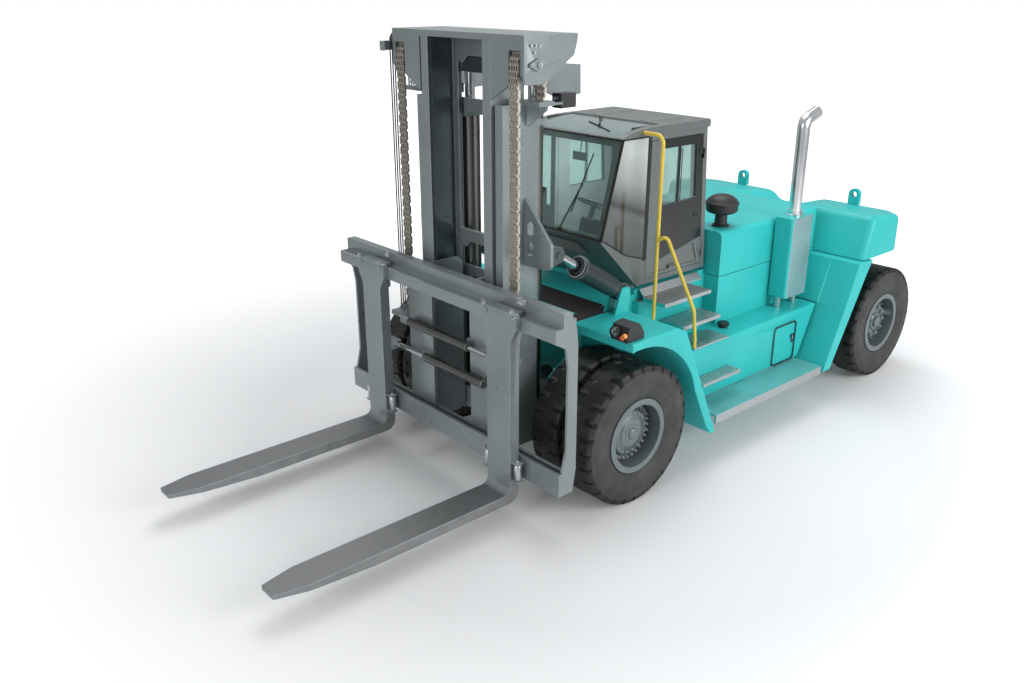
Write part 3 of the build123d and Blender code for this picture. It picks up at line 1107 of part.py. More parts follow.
def make_sheave(side):
    """A grooved chain wheel: two flanges with the chain's bed between them."""
    near, far = SHEAVE_X - SHEAVE_HALF, SHEAVE_X + SHEAVE_HALF
    flange = SHEAVE_RADIUS + 12
    profile = [(near - 4, SHEAVE_PIN + RUNNING_GAP), (near - 4, flange), (near + 2, flange), (near + 2, SHEAVE_RADIUS),
               (far - 2, SHEAVE_RADIUS), (far - 2, flange), (far + 4, flange), (far + 4, SHEAVE_PIN + RUNNING_GAP)]
    return turned_x([(side * x, r) for x, r in profile], SHEAVE_Y, SHEAVE_Z)


def make_hose_pulley():
    near, far = HOSE_X[-1] - 25, HOSE_X[0] + 25
    bed = HOSE_WRAP - HOSE_RADIUS
    return turned_x([(near, HOSE_PIN + RUNNING_GAP), (near, bed), (far, bed), (far, HOSE_PIN + RUNNING_GAP)],
                    SHEAVE_Y, HOSE_PULLEY_Z)


def chain_strip(side, y0, y1, z0, z1):
    return block(side * (SHEAVE_X - CHAIN_WIDTH / 2), side * (SHEAVE_X + CHAIN_WIDTH / 2), y0, y1, z0, z1)


def make_front_chain(side):
    inner = SHEAVE_RADIUS + 1
    outer = inner + CHAIN_THICK
    near, far = SHEAVE_X - CHAIN_WIDTH / 2, SHEAVE_X + CHAIN_WIDTH / 2
    wrap = turned_x([(side * near, inner), (side * near, outer), (side * far, outer), (side * far, inner)],
                    SHEAVE_Y, SHEAVE_Z)
    wrap -= block(-2000, 2000, SHEAVE_Y - 300, SHEAVE_Y + 300, SHEAVE_Z - 300, SHEAVE_Z)
    return wrap + chain_strip(side, SHEAVE_Y - outer, SHEAVE_Y - inner, CHAIN_ANCHOR_Z, SHEAVE_Z)


def make_rear_chain(side):
    inner = SHEAVE_RADIUS + 1
    return chain_strip(side, SHEAVE_Y + inner, SHEAVE_Y + inner + CHAIN_THICK, REAR_ANCHOR_Z, SHEAVE_Z)


def make_front_hose(x):
    hose = bar_z(HOSE_RADIUS, CHAIN_ANCHOR_Z, HOSE_PULLEY_Z, x, SHEAVE_Y - HOSE_WRAP)
    wrap = Pos(x, SHEAVE_Y, HOSE_PULLEY_Z) * Rot(0, 90, 0) * Torus(HOSE_WRAP, HOSE_RADIUS)
    wrap -= block(-2000, 2000, SHEAVE_Y - 300, SHEAVE_Y + 300, HOSE_PULLEY_Z - 300, HOSE_PULLEY_Z)
    return hose + wrap


def make_rear_hose(x):
    return bar_z(HOSE_RADIUS, REAR_ANCHOR_Z, HOSE_PULLEY_Z, x, SHEAVE_Y + HOSE_WRAP)


def make_work_light():
    light = block(LIGHT_X - LIGHT_HALF, LIGHT_X + LIGHT_HALF, LIGHT_FRONT, LIGHT_BACK, LIGHT_LOW, LIGHT_LOW + LIGHT_HEIGHT)
    light = fillet(light.edges().filter_by(Axis.Y), 12)
    return light - block(LIGHT_X - LIGHT_HALF + 12, LIGHT_X + LIGHT_HALF - 12, LIGHT_BACK - 10, LIGHT_BACK + 10,
                         LIGHT_LOW + 12, LIGHT_LOW + LIGHT_HEIGHT - 12)


# Carriage: beams, end uprights and two columns that run inside the mast on rollers

def make_carriage():
    beam_low = CARRIAGE_TOP - 127
    beam = side_plate([(FORK_BAR_BACK, beam_low), (COLUMN_BACK + 12, beam_low), (COLUMN_BACK + 12, CARRIAGE_TOP - 58),
                       (COLUMN_BACK - 28, CARRIAGE_TOP - 58), (COLUMN_BACK - 28, CARRIAGE_TOP), (FORK_BAR_BACK, CARRIAGE_TOP)],
                      -CARRIAGE_HALF, CARRIAGE_HALF, {4: 10, 5: 10})
    inside = CARRIAGE_HALF - 25
    beam += block(-inside, inside, FORK_BAR_FRONT, FORK_BAR_BACK, FORK_BAR_LOW, FORK_BAR_HIGH)
    beam += block(-inside, inside, FORK_BAR_BACK - SINK, FORK_BAR_BACK + 30, FORK_BAR_LOW, beam_low + 4)
    low = side_plate([(LOW_BAR_FRONT, CARRIAGE_LOW), (LOW_BAR_BACK, CARRIAGE_LOW), (LOW_BAR_BACK, CARRIAGE_LOW + 175),
                      (LOW_BAR_BACK - 35, CARRIAGE_LOW + 175), (LOW_BAR_BACK - 35, CARRIAGE_LOW + 35),
                      (LOW_BAR_FRONT + 35, CARRIAGE_LOW + 35), (LOW_BAR_FRONT + 35, CARRIAGE_LOW + 222),
                      (LOW_BAR_FRONT, CARRIAGE_LOW + 222)], -CARRIAGE_HALF, CARRIAGE_HALF)
    end = side_plate([(LOW_BAR_FRONT, CARRIAGE_LOW), (LOW_BAR_BACK, CARRIAGE_LOW), (LOW_BAR_BACK + 35, CARRIAGE_LOW + 235),
                      (LOW_BAR_BACK + 25, FORK_BAR_LOW - 54), (LOW_BAR_BACK, beam_low + 4), (FORK_BAR_FRONT, beam_low + 4),
                      (FORK_BAR_FRONT, FORK_BAR_LOW), (LOW_BAR_BACK - 115, FORK_BAR_LOW - 74),
                      (LOW_BAR_BACK - 85, FORK_BAR_LOW - 254), (LOW_BAR_BACK - 85, CARRIAGE_LOW + 435),
                      (LOW_BAR_FRONT + 40, CARRIAGE_LOW + 235)], CARRIAGE_HALF - END_PLATE, CARRIAGE_HALF,
                     {7: 60, 8: 60, 9: 60, 10: 60})
    column = front_plate([(300, CARRIAGE_LOW), (700, CARRIAGE_LOW), (700, beam_low + 79), (300, beam_low + 79)],
                         COLUMN_BACK - COLUMN_PLATE, COLUMN_BACK)
    column += side_plate([(COLUMN_BACK - 3, CARRIAGE_LOW + 15), (GUIDE_BACK, CARRIAGE_LOW + 15), (GUIDE_BACK, CARRIAGE_TOP - 18),
                          (COLUMN_BACK - 3, CARRIAGE_TOP - 18)], GUIDE_X, GUIDE_X + GUIDE_PLATE, {1: 80, 2: 80})
    roller_y = (INNER_FRONT + INNER_BACK) / 2
    radius = (INNER_BACK - INNER_FRONT) / 2 - RAIL_FLANGE - RUNNING_GAP
    for z in (CARRIAGE_LOW + 235, CARRIAGE_TOP - 248):
        column += roller(radius, INNER_LIP + SINK, INNER_WEB - RAIL_WEB - SINK, roller_y, z)
        column += bar_x(60, GUIDE_X + GUIDE_PLATE - 12, INNER_LIP + SINK + 2, roller_y, z)
    anchor_x = SHEAVE_X + CHAIN_WIDTH / 2 + 19
    anchor = block(640, anchor_x, COLUMN_BACK - 23, COLUMN_BACK + 17, CHAIN_ANCHOR_Z - 90, CHAIN_ANCHOR_Z)
    anchor += block(SHEAVE_X - 76, anchor_x, COLUMN_BACK - 3, COLUMN_BACK + 97, CHAIN_ANCHOR_Z - 50, CHAIN_ANCHOR_Z)
    half = end + column + anchor
    carriage = beam + low + half + other_side(half)
    carriage += block(HOSE_X[-1] - 25, SINK - anchor_x, COLUMN_BACK - 3, COLUMN_BACK + 132, CHAIN_ANCHOR_Z - 50,
                      CHAIN_ANCHOR_Z)
    for low_x, high_x, z, rod_end in POSITIONERS:
        for x in (low_x + 60, high_x - 60):
            carriage += block(x - 25, x + 25, POSITIONER_Y + POSITIONER_RADIUS, COLUMN_BACK - 38, z - 60, z + 60)
    return carriage


def make_positioner_barrel(low_x, high_x, z, rod_end):
    outward = rod_end > high_x
    barrel = bar_x(POSITIONER_RADIUS, low_x, high_x, POSITIONER_Y, z)
    start = low_x + POSITIONER_END if outward else high_x - POSITIONER_END
    end = high_x + 5 if outward else low_x - 5
    return barrel - bar_x(POSITIONER_ROD + RUNNING_GAP, start, end, POSITIONER_Y, z)


def make_positioner_rod(low_x, high_x, z, rod_end):
    reach = POSITIONER_END + FORK_TRAVEL + POSITIONER_CUSHION
    inside = low_x + reach if rod_end > high_x else high_x - reach
    return bar_x(POSITIONER_ROD, inside, rod_end, POSITIONER_Y, z)


# Forks: an L-shaped forging with a hook over the carriage's bar

def make_fork(centre_x, positioner):
    low_x, high_x, rod_z, rod_end = positioner
    bottom = FORK_TOP - FORK_THICK
    tip_bottom = FORK_TOP - FORK_TIP_THICK
    root = HEEL_RADIUS * 0.7
    side = [(FORK_FACE, FORK_SHANK_TOP), (FORK_FACE, FORK_TOP), (FORK_TIP_Y, FORK_TOP), (FORK_TIP_Y, tip_bottom),
            (FORK_TIP_Y + FORK_UNDER_TAPER, bottom), (FORK_BACK, bottom), (FORK_BACK, FORK_SHANK_TOP)]
    half = FORK_WIDTH / 2
    fork = side_plate(side, centre_x - half, centre_x + half, {1: root, 2: 8, 5: HEEL_RADIUS})
    tip = FORK_TIP_WIDTH / 2
    taper_y = FORK_TIP_Y + FORK_TIP_TAPER
    fork &= top_plate([(centre_x - half, FORK_BACK + 50), (centre_x - half, taper_y), (centre_x - tip, FORK_TIP_Y),
                       (centre_x + tip, FORK_TIP_Y), (centre_x + half, taper_y), (centre_x + half, FORK_BACK + 50)],
                      0, FORK_SHANK_TOP + 500, {2: 20, 3: 20})
    ear_top = FORK_BAR_HIGH + HOOK_LIP + 3
    hook = front_plate([(centre_x - half, FORK_SHANK_TOP - 40), (centre_x + half, FORK_SHANK_TOP - 40),
                        (centre_x + HOOK_HALF, FORK_BAR_LOW + 10), (centre_x + HOOK_HALF, ear_top),
                        (centre_x - HOOK_HALF, ear_top), (centre_x - HOOK_HALF, FORK_BAR_LOW + 10)],
                       FORK_FACE, FORK_BAR_FRONT - 2, {2: 30, 3: 45, 4: 45, 5: 30})
    reach = FORK_BAR_BACK - 20
    hook += block(centre_x - HOOK_HALF + 45, centre_x + HOOK_HALF - 45, FORK_BAR_FRONT - 4, reach, FORK_BAR_HIGH + 3, ear_top)
    hook += block(centre_x - half, centre_x + half, FORK_BAR_FRONT - 4, reach, FORK_SHANK_TOP - 40, FORK_BAR_LOW - 3)
    for x in (centre_x - HOOK_HALF + 50, centre_x + HOOK_HALF - 50):
        hook += bar_y(34, FORK_FACE - 14, FORK_FACE + 2, x, ear_top - 50)
    fork += hook
    fork += block(centre_x - 120, centre_x + 120, FORK_BACK - SINK, LOW_BAR_FRONT - 1, CARRIAGE_LOW + 55, CARRIAGE_LOW + 175)
    ear = POSITIONER_EAR if rod_end > 0 else -POSITIONER_EAR
    return fork + block(rod_end, rod_end + ear, FORK_BACK - SINK, POSITIONER_Y + 40, rod_z - 40, rod_z + 40)


# Tilt cylinders between the fenders and the mast

tilt_angle = math.atan2(TILT_EYE_Z - TILT_REAR_Z, TILT_EYE_Y - TILT_REAR_Y)
tilt_length = math.hypot(TILT_EYE_Z - TILT_REAR_Z, TILT_EYE_Y - TILT_REAR_Y)


def along_tilt(piece):
    """Turns a piece drawn along +Z from the rear pin into the cylinder's line."""
    return Pos(0, TILT_REAR_Y, TILT_REAR_Z) * Rot(math.degrees(tilt_angle) - 90, 0, 0) * piece


def make_tilt_barrel(side):
    x = side * TILT_X
    bore = TILT_ROD + RUNNING_GAP
    barrel = turned_z([(bore, 150), (TILT_BARREL - 14, 150), (TILT_BARREL, 164), (TILT_BARREL, TILT_GLAND_AT - 45),
                       (TILT_GLAND, TILT_GLAND_AT - 45), (TILT_GLAND, TILT_GLAND_AT - 10), (TILT_BARREL - 22, TILT_GLAND_AT),
                       (bore, TILT_GLAND_AT)], x, 0)
    eye = bar_x(TILT_BARREL - SINK, x - 48, x + 48, 0, 0) + block(x - 48, x + 48, -70, 70, 0, 130)
    eye += bar_z(TILT_BARREL - 14, 95, 152, x, 0)
    barrel += eye
    return along_tilt(barrel - bar_x(TILT_PIN + RUNNING_GAP, x - 200, x + 200, 0, 0))


def make_tilt_rod(side):
    x = side * TILT_X
    rod = bar_z(TILT_ROD, 480, tilt_length - 40, x, 0)
    rod += bar_x(TILT_EYE, x - TILT_EYE_HALF, x + TILT_EYE_HALF, 0, tilt_length)
    return along_tilt(rod - bar_x(TILT_PIN + EYE_PLAY, x - 60, x + 60, 0, tilt_length))


# Every node and its solids

front_tyres = [tyre(front_outer_x, 0), tyre(front_inner_x, 0)]
rear_tyre = tyre(rear_x, WHEELBASE)
front_rim = make_front_rim()
rear_rim = make_rear_rim()
knuckle = make_knuckle()
steps = make_steps()
door = make_door()
pane = make_door_glass()
NODES = {
    "front_tyres_left": front_tyres,
    "front_tyres_right": [other_side(piece) for piece in front_tyres],
    "front_rims_left": [front_rim],
    "front_rims_right": [other_side(front_rim)],
    "rear_tyre_left": [rear_tyre],
    "rear_tyre_right": [other_side(rear_tyre)],
    "rear_rim_left": [rear_rim],
    "rear_rim_right": [other_side(rear_rim)],
    "drive_axle": [make_drive_axle()],
    "steer_axle": [make_steer_axle()],
    "steer_knuckle_left": [knuckle],
    "steer_knuckle_right": [other_side(knuckle)],
    "chassis_frame": [make_chassis()],
    "mast_mount": [make_mast_mount()],
    "front_fenders": both_sides(make_fender()),
    "fender_lamps": both_sides(make_lamps()),
    "body_cover": [make_body()],
    "side_tanks": [make_left_tank(), other_side(make_tank())],
    "tank_hatch": [make_hatch()],
    "engine_block": [make_engine()],
    "side_covers": both_sides(make_side_cover()),
    "engine_hood": [make_hood()],
    "muffler_box": [make_muffler()],
    "exhaust_stack": [make_stack()],
    "air_precleaner": [make_precleaner()],
    "counterweight": [make_counterweight()],
    "rear_wheel_walls": both_sides(make_rear_wall()),
    "cab_steps": steps + [other_side(piece) for piece in steps],
    "running_boards": both_sides(make_running_board()),
    "handrails": both_sides(make_handrail()),
    "cab_shell": [make_cab()],
    "cab_roof": [make_roof()],
    "cab_glass": make_glass(),
    "cab_door_left": [door],
    "cab_door_right": [other_side(door)],
    "door_glass_left": [pane],
    "door_glass_right": [other_side(pane)],
    "driver_seat": [make_seat()],
    "cab_controls": [make_controls()],
    "outer_mast": [make_outer_mast()],
    "lift_cylinders": [make_lift_cylinder(side) for side in SIDES],
    "work_lights": both_sides(make_work_light()),
    "inner_mast": [make_inner_mast()],
    "mast_head": [make_mast_head()],
    "lift_rods": [make_lift_rod(side) for side in SIDES],
    "chain_sheaves": [make_sheave(1), make_sheave(-1), make_hose_pulley()],
    "lift_chains_front": [make_front_chain(side) for side in SIDES],
    "lift_chains_rear": [make_rear_chain(side) for side in SIDES],
    "mast_hoses_front": [make_front_hose(x) for x in HOSE_X],
    "mast_hoses_rear": [make_rear_hose(x) for x in HOSE_X],
    "fork_carriage": [make_carriage()],
    "positioner_cylinders": [make_positioner_barrel(*row) for row in POSITIONERS],
    "fork_left": [make_fork(FORK_X, POSITIONERS[0]), make_positioner_rod(*POSITIONERS[0])],
    "fork_right": [make_fork(-FORK_X, POSITIONERS[1]), make_positioner_rod(*POSITIONERS[1])],
    "tilt_cylinders": [make_tilt_barrel(side) for side in SIDES],
    "tilt_rods": [make_tilt_rod(side) for side in SIDES],
}

os.makedirs("parts", exist_ok=True)
for name, pieces in NODES.items():
    solids = []
    for piece in pieces:
        solids += (Pos(0, -ORIGIN_Y, 0) * piece).solids()
    export_step(Compound(children=solids), f"parts/{name}.step")
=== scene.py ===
# %% [markdown]
# # A heavy forklift truck, dressed for its picture
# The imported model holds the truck's exact solids. This lesson keeps the solids whose shape is right,
# paints them, and makes the parts that need finer work: tyres, wheel nuts, chains, lamps, seat, trim.
# Lengths are metres, the floor is z = 0, the forks face -Y and the driver's left side is +X.

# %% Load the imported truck
import json
import math
import bmesh
import bpy
from mathutils import Matrix, Vector


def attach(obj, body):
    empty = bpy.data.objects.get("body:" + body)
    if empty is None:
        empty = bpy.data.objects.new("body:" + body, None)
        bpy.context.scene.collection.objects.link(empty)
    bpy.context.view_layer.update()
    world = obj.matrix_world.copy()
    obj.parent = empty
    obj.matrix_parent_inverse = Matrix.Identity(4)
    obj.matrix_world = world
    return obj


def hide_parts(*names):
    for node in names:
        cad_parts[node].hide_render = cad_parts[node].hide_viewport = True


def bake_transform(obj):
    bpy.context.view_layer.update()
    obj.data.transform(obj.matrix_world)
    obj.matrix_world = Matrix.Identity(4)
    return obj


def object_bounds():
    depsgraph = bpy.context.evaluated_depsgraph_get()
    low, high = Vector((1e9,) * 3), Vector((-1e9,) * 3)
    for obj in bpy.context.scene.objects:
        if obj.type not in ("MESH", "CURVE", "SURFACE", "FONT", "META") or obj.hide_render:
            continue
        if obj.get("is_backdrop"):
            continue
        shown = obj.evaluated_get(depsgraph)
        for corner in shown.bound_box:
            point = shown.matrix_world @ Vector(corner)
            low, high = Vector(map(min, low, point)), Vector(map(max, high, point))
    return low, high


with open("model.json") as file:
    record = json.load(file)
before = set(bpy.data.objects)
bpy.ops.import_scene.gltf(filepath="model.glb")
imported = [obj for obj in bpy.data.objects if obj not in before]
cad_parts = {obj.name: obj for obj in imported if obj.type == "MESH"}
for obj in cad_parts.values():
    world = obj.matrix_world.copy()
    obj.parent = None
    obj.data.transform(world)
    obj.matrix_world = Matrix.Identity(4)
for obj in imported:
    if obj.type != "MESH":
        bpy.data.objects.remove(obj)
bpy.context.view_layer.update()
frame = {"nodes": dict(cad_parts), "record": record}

nodes = frame["nodes"]
scene = bpy.context.scene

# %% [markdown]
# A few places are used again and again: the two axle lines and the mirror rule. They are named once
# here. Most sizes of a truck are quoted from its front axle, so a small helper turns such a place into
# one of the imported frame.

# %% Places on the truck
FRONT_AXLE_Y = -0.928
WHEELBASE = 4.755
AXLE_Z = 0.712
LEFT_AND_RIGHT = (1, -1)
SIDE_NAMES = {1: "left", -1: "right"}


def spot(x, y, z):
    """A point given by its distances from the middle, the front axle and the floor."""
    return Vector((x, FRONT_AXLE_Y + y, z))


print("the rear axle lies at y =", FRONT_AXLE_Y + WHEELBASE)

# %% [markdown]
# The photograph looks down on the truck from its front left. A camera can be tracked to a target with
# a constraint, or be given its turn straight from its azimuth and tilt. The second way is chosen,
# because both angles came from fitting the truck's straight edges.

# %% Camera
CAMERA_PLACE = spot(6.821, -6.164, 4.762)
CAMERA_AZIMUTH = math.radians(48.617)
CAMERA_TILT = math.radians(21.148)
level = math.cos(CAMERA_TILT)
back = Vector((math.sin(CAMERA_AZIMUTH) * level, -math.cos(CAMERA_AZIMUTH) * level, math.sin(CAMERA_TILT)))
right = Vector((math.cos(CAMERA_AZIMUTH), math.sin(CAMERA_AZIMUTH), 0))
up = back.cross(right)
camera = bpy.data.objects.new("camera", bpy.data.cameras.new("camera"))
scene.collection.objects.link(camera)
camera.matrix_world = Matrix.Translation(CAMERA_PLACE) @ Matrix((right, up, back)).transposed().to_4x4()
camera.data.sensor_width = 36
camera.data.lens = 32.454
camera.data.clip_end = 200
scene.camera = camera
print("camera looks along", [round(v, 3) for v in -back])

# %% [markdown]
# The studio is a pale floor that runs out into a white world. Lamps could make it white, but then they
# would bleach the paint. Instead the world and the floor are white only for the rays that come from
# the camera or through glass, and the lamps stay at a plain level. Far from the truck the floor glows
# more, so that no horizon shows, and near it the shadow stays.

# %% World and floor
scene.view_settings.view_transform = "Standard"
world = bpy.data.worlds.new("studio")
scene.world = world
world.use_nodes = True
tree = world.node_tree
tree.nodes.clear()


def feed(tree, values, sockets):
    """Gives each socket its value, or a link where the value is another node's output."""
    for value, socket in zip(values, sockets):
        if isinstance(value, bpy.types.NodeSocket):
            tree.links.new(value, socket)
        else:
            socket.default_value = value


def put(tree, node, **inputs):
    """Feeds a node's inputs by name. An underscore in a name stands for the space."""
    feed(tree, inputs.values(), [node.inputs[name.replace("_", " ")] for name in inputs])
    return node


def add_node(tree, kind, **inputs):
    return put(tree, tree.nodes.new("ShaderNode" + kind), **inputs)


def fit_range(tree, value, low, high, to_low, to_high):
    """Carries a value from one range to another and holds it there."""
    node = add_node(tree, "MapRange", Value=value, From_Min=low, From_Max=high, To_Min=to_low, To_Max=to_high)
    return node.outputs[0]


def combine(tree, operation, first, second):
    """One step of arithmetic on two values."""
    node = add_node(tree, "Math")
    node.operation = operation
    feed(tree, (first, second), node.inputs)
    return node.outputs[0]


def seen_directly(tree, path):
    """1 for rays from the camera or through glass, else 0."""
    return combine(tree, "MAXIMUM", path.outputs["Is Camera Ray"], path.outputs["Is Transmission Ray"])


def mix_shaders(tree, factor, first, second):
    node = add_node(tree, "MixShader")
    feed(tree, (factor, first, second), node.inputs)
    return node.outputs[0]


path = add_node(tree, "LightPath")
soft_light = add_node(tree, "Background", Color=(0.96, 0.98, 1.0, 1), Strength=0.42).outputs[0]
mirrored = add_node(tree, "Background", Color=(0.90, 0.93, 0.96, 1), Strength=0.46).outputs[0]
white = add_node(tree, "Background", Color=(1, 1, 1, 1), Strength=1.0).outputs[0]
shown = mix_shaders(tree, path.outputs["Is Glossy Ray"], soft_light, mirrored)
shown = mix_shaders(tree, seen_directly(tree, path), shown, white)
add_node(tree, "OutputWorld", Surface=shown)

FLOOR_REACH = 60
floor_mesh = bpy.data.meshes.new("floor")
bm = bmesh.new()
bmesh.ops.create_grid(bm, x_segments=4, y_segments=4, size=FLOOR_REACH)
bm.to_mesh(floor_mesh)
bm.free()
floor = bpy.data.objects.new("floor", floor_mesh)
scene.collection.objects.link(floor)
floor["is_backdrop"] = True
floor_finish = bpy.data.materials.new("studio_floor")
floor_finish.use_nodes = True
tree = floor_finish.node_tree
tree.nodes.clear()
matte = add_node(tree, "BsdfDiffuse", Color=(0.80, 0.81, 0.82, 1))
from_middle = add_node(tree, "VectorMath")
from_middle.operation = "LENGTH"
feed(tree, [add_node(tree, "TexCoord").outputs["Object"]], from_middle.inputs)
rising = fit_range(tree, from_middle.outputs["Value"], 3.8, 12.0, 0.05, 0.95)
shining = combine(tree, "MULTIPLY", seen_directly(tree, add_node(tree, "LightPath")), rising)
both = add_node(tree, "AddShader")
feed(tree, (matte.outputs[0], add_node(tree, "Emission", Strength=shining).outputs[0]), both.inputs)
add_node(tree, "OutputMaterial", Surface=both.outputs[0])
floor_mesh.materials.append(floor_finish)
print("floor reaches", FLOOR_REACH, "m each way")

# %% [markdown]
# Four soft lamps: a large one on the truck's left, which makes the side panels the brightest, a
# wide one overhead for the tops and the shadow on the floor, and one in front for the mast. A small
# fourth lamp under the roof keeps the inside of the cab from going black behind its tinted glass.

# %% Lamps
LAMPS = [  # name, place, target, width, height, power
    ("left_lamp", (12.5, 3.0, 6.0), (0, 0.8, 1.2), 8, 6, 980),
    ("cab_lamp", (0, 0.2, 3.30), (0, 0.3, 1.8), 0.7, 0.5, 26),
    ("top_lamp", (-2.0, 2.5, 11.5), (0, 0, 0), 7, 9, 700),
    ("front_lamp", (2, -14, 5), (0, 0, 1.8), 6, 5, 380),
]
for name, place, target, width, height, power in LAMPS:
    data = bpy.data.lights.new(name, "AREA")
    data.shape = "RECTANGLE"
    data.size = width
    data.size_y = height
    data.energy = power
    lamp = bpy.data.objects.new(name, data)
    scene.collection.objects.link(lamp)
    lamp.location = place
    lamp.rotation_euler = (Vector(target) - Vector(place)).to_track_quat("-Z", "Y").to_euler()
print(len(LAMPS), "lamps")

# %% [markdown]
# Most of the truck is sprayed metal. Real spray paint isn't flat: its tone drifts a little from panel
# to panel, fine dust dulls the lower parts, the film has a faint orange peel, and rubbed places are
# glossier. One helper builds all of that from noise on Object coordinates, which stay fixed on each
# piece, and each paint gets its own colours and strengths from a table.


# %% Helpers for shader nodes
def new_material(name, **inputs):
    """A material with one main shader, whose inputs are fed by name."""
    material = bpy.data.materials.new(name)
    material.use_nodes = True
    tree = material.node_tree
    tree.nodes.clear()
    shader = add_node(tree, "BsdfPrincipled", **inputs)
    add_node(tree, "OutputMaterial", Surface=shader.outputs[0])
    return material, tree, shader


def object_place(tree):
    return add_node(tree, "TexCoord").outputs["Object"]


def noise(tree, scale, detail=4.0, stretch=(1, 1, 1)):
    place = add_node(tree, "Mapping", Scale=stretch, Vector=object_place(tree)).outputs[0]
    return add_node(tree, "TexNoise", Scale=scale, Detail=detail, Vector=place).outputs["Fac"]


def ramp(tree, value, stops):
    """A colour ramp through stops of (position, colour)."""
    node = add_node(tree, "ValToRGB")
    marks = node.color_ramp.elements
    marks.remove(marks[0])
    marks[0].position = stops[0][0]
    marks[0].color = (*stops[0][1], 1)
    for position, colour in stops[1:]:
        marks.new(position).color = (*colour, 1)
    feed(tree, [value], node.inputs)
    return node.outputs[0]


def blend_colour(tree, factor, first, second):
    node = add_node(tree, "Mix")
    node.data_type = "RGBA"
    feed(tree, (factor, first, second), (node.inputs[0], node.inputs[6], node.inputs[7]))
    return node.outputs[2]


def bump(tree, shader, height, strength, distance):
    node = add_node(tree, "Bump", Strength=strength, Distance=distance, Height=height)
    put(tree, shader, Normal=node.outputs[0])


def tint(colour, share):
    return tuple(min(1.0, part * share) for part in colour)


# %% [markdown]
# The paints differ in colour, gloss and how much dust they show. Each row of the table becomes one
# material: two tones of the colour meet in a soft noise, dust comes in below knee height, and a fine
# noise makes the orange peel. The edge rows are their paints, lighter and glossier: a painted highlight.

# %% Paints
PAINTS = {  # name: colour, metal, roughness, clear coat, tone drift, dust share, orange peel
    "teal_paint": ((0.034, 0.540, 0.530), 0.0, 0.42, 0.12, 0.05, 0.05, 0.05),
    # The edge rows are their paints made lighter: a painted highlight for bevelled edges.
    "teal_edge": ((0.085, 0.640, 0.625), 0.0, 0.30, 0.25, 0.05, 0.05, 0.03),
    "teal_shade_paint": ((0.020, 0.230, 0.240), 0.0, 0.50, 0.0, 0.10, 0.15, 0.08),
    "mast_paint": ((0.270, 0.308, 0.315), 0.40, 0.30, 0.20, 0.06, 0.0, 0.0),
    "mast_edge": ((0.420, 0.460, 0.465), 0.3, 0.32, 0.0, 0.10, 0.05, 0.03),
    "mast_shade_paint": ((0.075, 0.098, 0.102), 0.45, 0.28, 0.15, 0.10, 0.05, 0.03),
    "cylinder_paint": ((0.040, 0.050, 0.053), 0.25, 0.34, 0.15, 0.10, 0.08, 0.04),
    "cab_paint": ((0.165, 0.183, 0.182), 0.20, 0.34, 0.25, 0.04, 0.03, 0.03),
    "cab_edge": ((0.260, 0.280, 0.275), 0.20, 0.30, 0.30, 0.05, 0.03, 0.03),
    "door_paint": ((0.018, 0.020, 0.021), 0.0, 0.24, 0.50, 0.08, 0.05, 0.03),
    "rail_paint": ((0.780, 0.560, 0.085), 0.0, 0.36, 0.25, 0.08, 0.05, 0.05),
    "rim_paint": ((0.170, 0.208, 0.214), 0.40, 0.33, 0.20, 0.10, 0.10, 0.05),
    "iron_finish": ((0.050, 0.054, 0.056), 0.35, 0.58, 0.0, 0.25, 0.25, 0.20),
    "lamp_housing": ((0.040, 0.042, 0.044), 0.0, 0.46, 0.0, 0.10, 0.08, 0.20),
    "nut_finish": ((0.400, 0.430, 0.440), 0.30, 0.34, 0.30, 0.08, 0.05, 0.04),
    "rim_shade_paint": ((0.030, 0.036, 0.038), 0.10, 0.60, 0.0, 0.20, 0.10, 0.08),
    # The deck's dark colour stands for its mat and for painted shade under the tilt cylinders.
    "deck_mat": ((0.034, 0.028, 0.030), 0.0, 0.62, 0.0, 0.20, 0.15, 0.30),
}
DUST = (0.42, 0.40, 0.37, 1)


def make_paint(name, colour, metal, roughness, coat, drift, dust, peel):
    material, tree, shader = new_material(name, Metallic=metal, Coat_Weight=coat, Coat_Roughness=0.12,
                                          Specular_IOR_Level=0.30)
    tone = ramp(tree, noise(tree, 1.7, 5), [(0.35, tint(colour, 1 - drift)), (0.65, tint(colour, 1 + drift))])
    height = add_node(tree, "SeparateXYZ", Vector=object_place(tree)).outputs["Z"]
    low = fit_range(tree, height, 0.0, 1.1, 1.0, 0.05)
    patches = fit_range(tree, noise(tree, 6.0, 8), 0.42, 0.72, 0.0, 1.0)
    share = fit_range(tree, combine(tree, "MULTIPLY", low, patches), 0.0, 1.0, 0.0, dust)
    rub = fit_range(tree, noise(tree, 5.0, 3), 0.3, 0.7, roughness - 0.03, roughness + 0.05)
    put(tree, shader, Base_Color=blend_colour(tree, share, tone, DUST), Roughness=rub)
    bump(tree, shader, noise(tree, 90.0, 1), peel, 0.0004)
    return material


finish = {name: make_paint(name, *row) for name, row in PAINTS.items()}
print(len(finish), "paints")

# %% [markdown]
# Bare metals get no paint film. A drawn rod has fine lines round it, the exhaust stack is bright and
# slightly wavy, and the forks are scuffed by every pallet they slide under. The lines and scratches
# are noise stretched along one direction, which bends the roughness more than the colour.

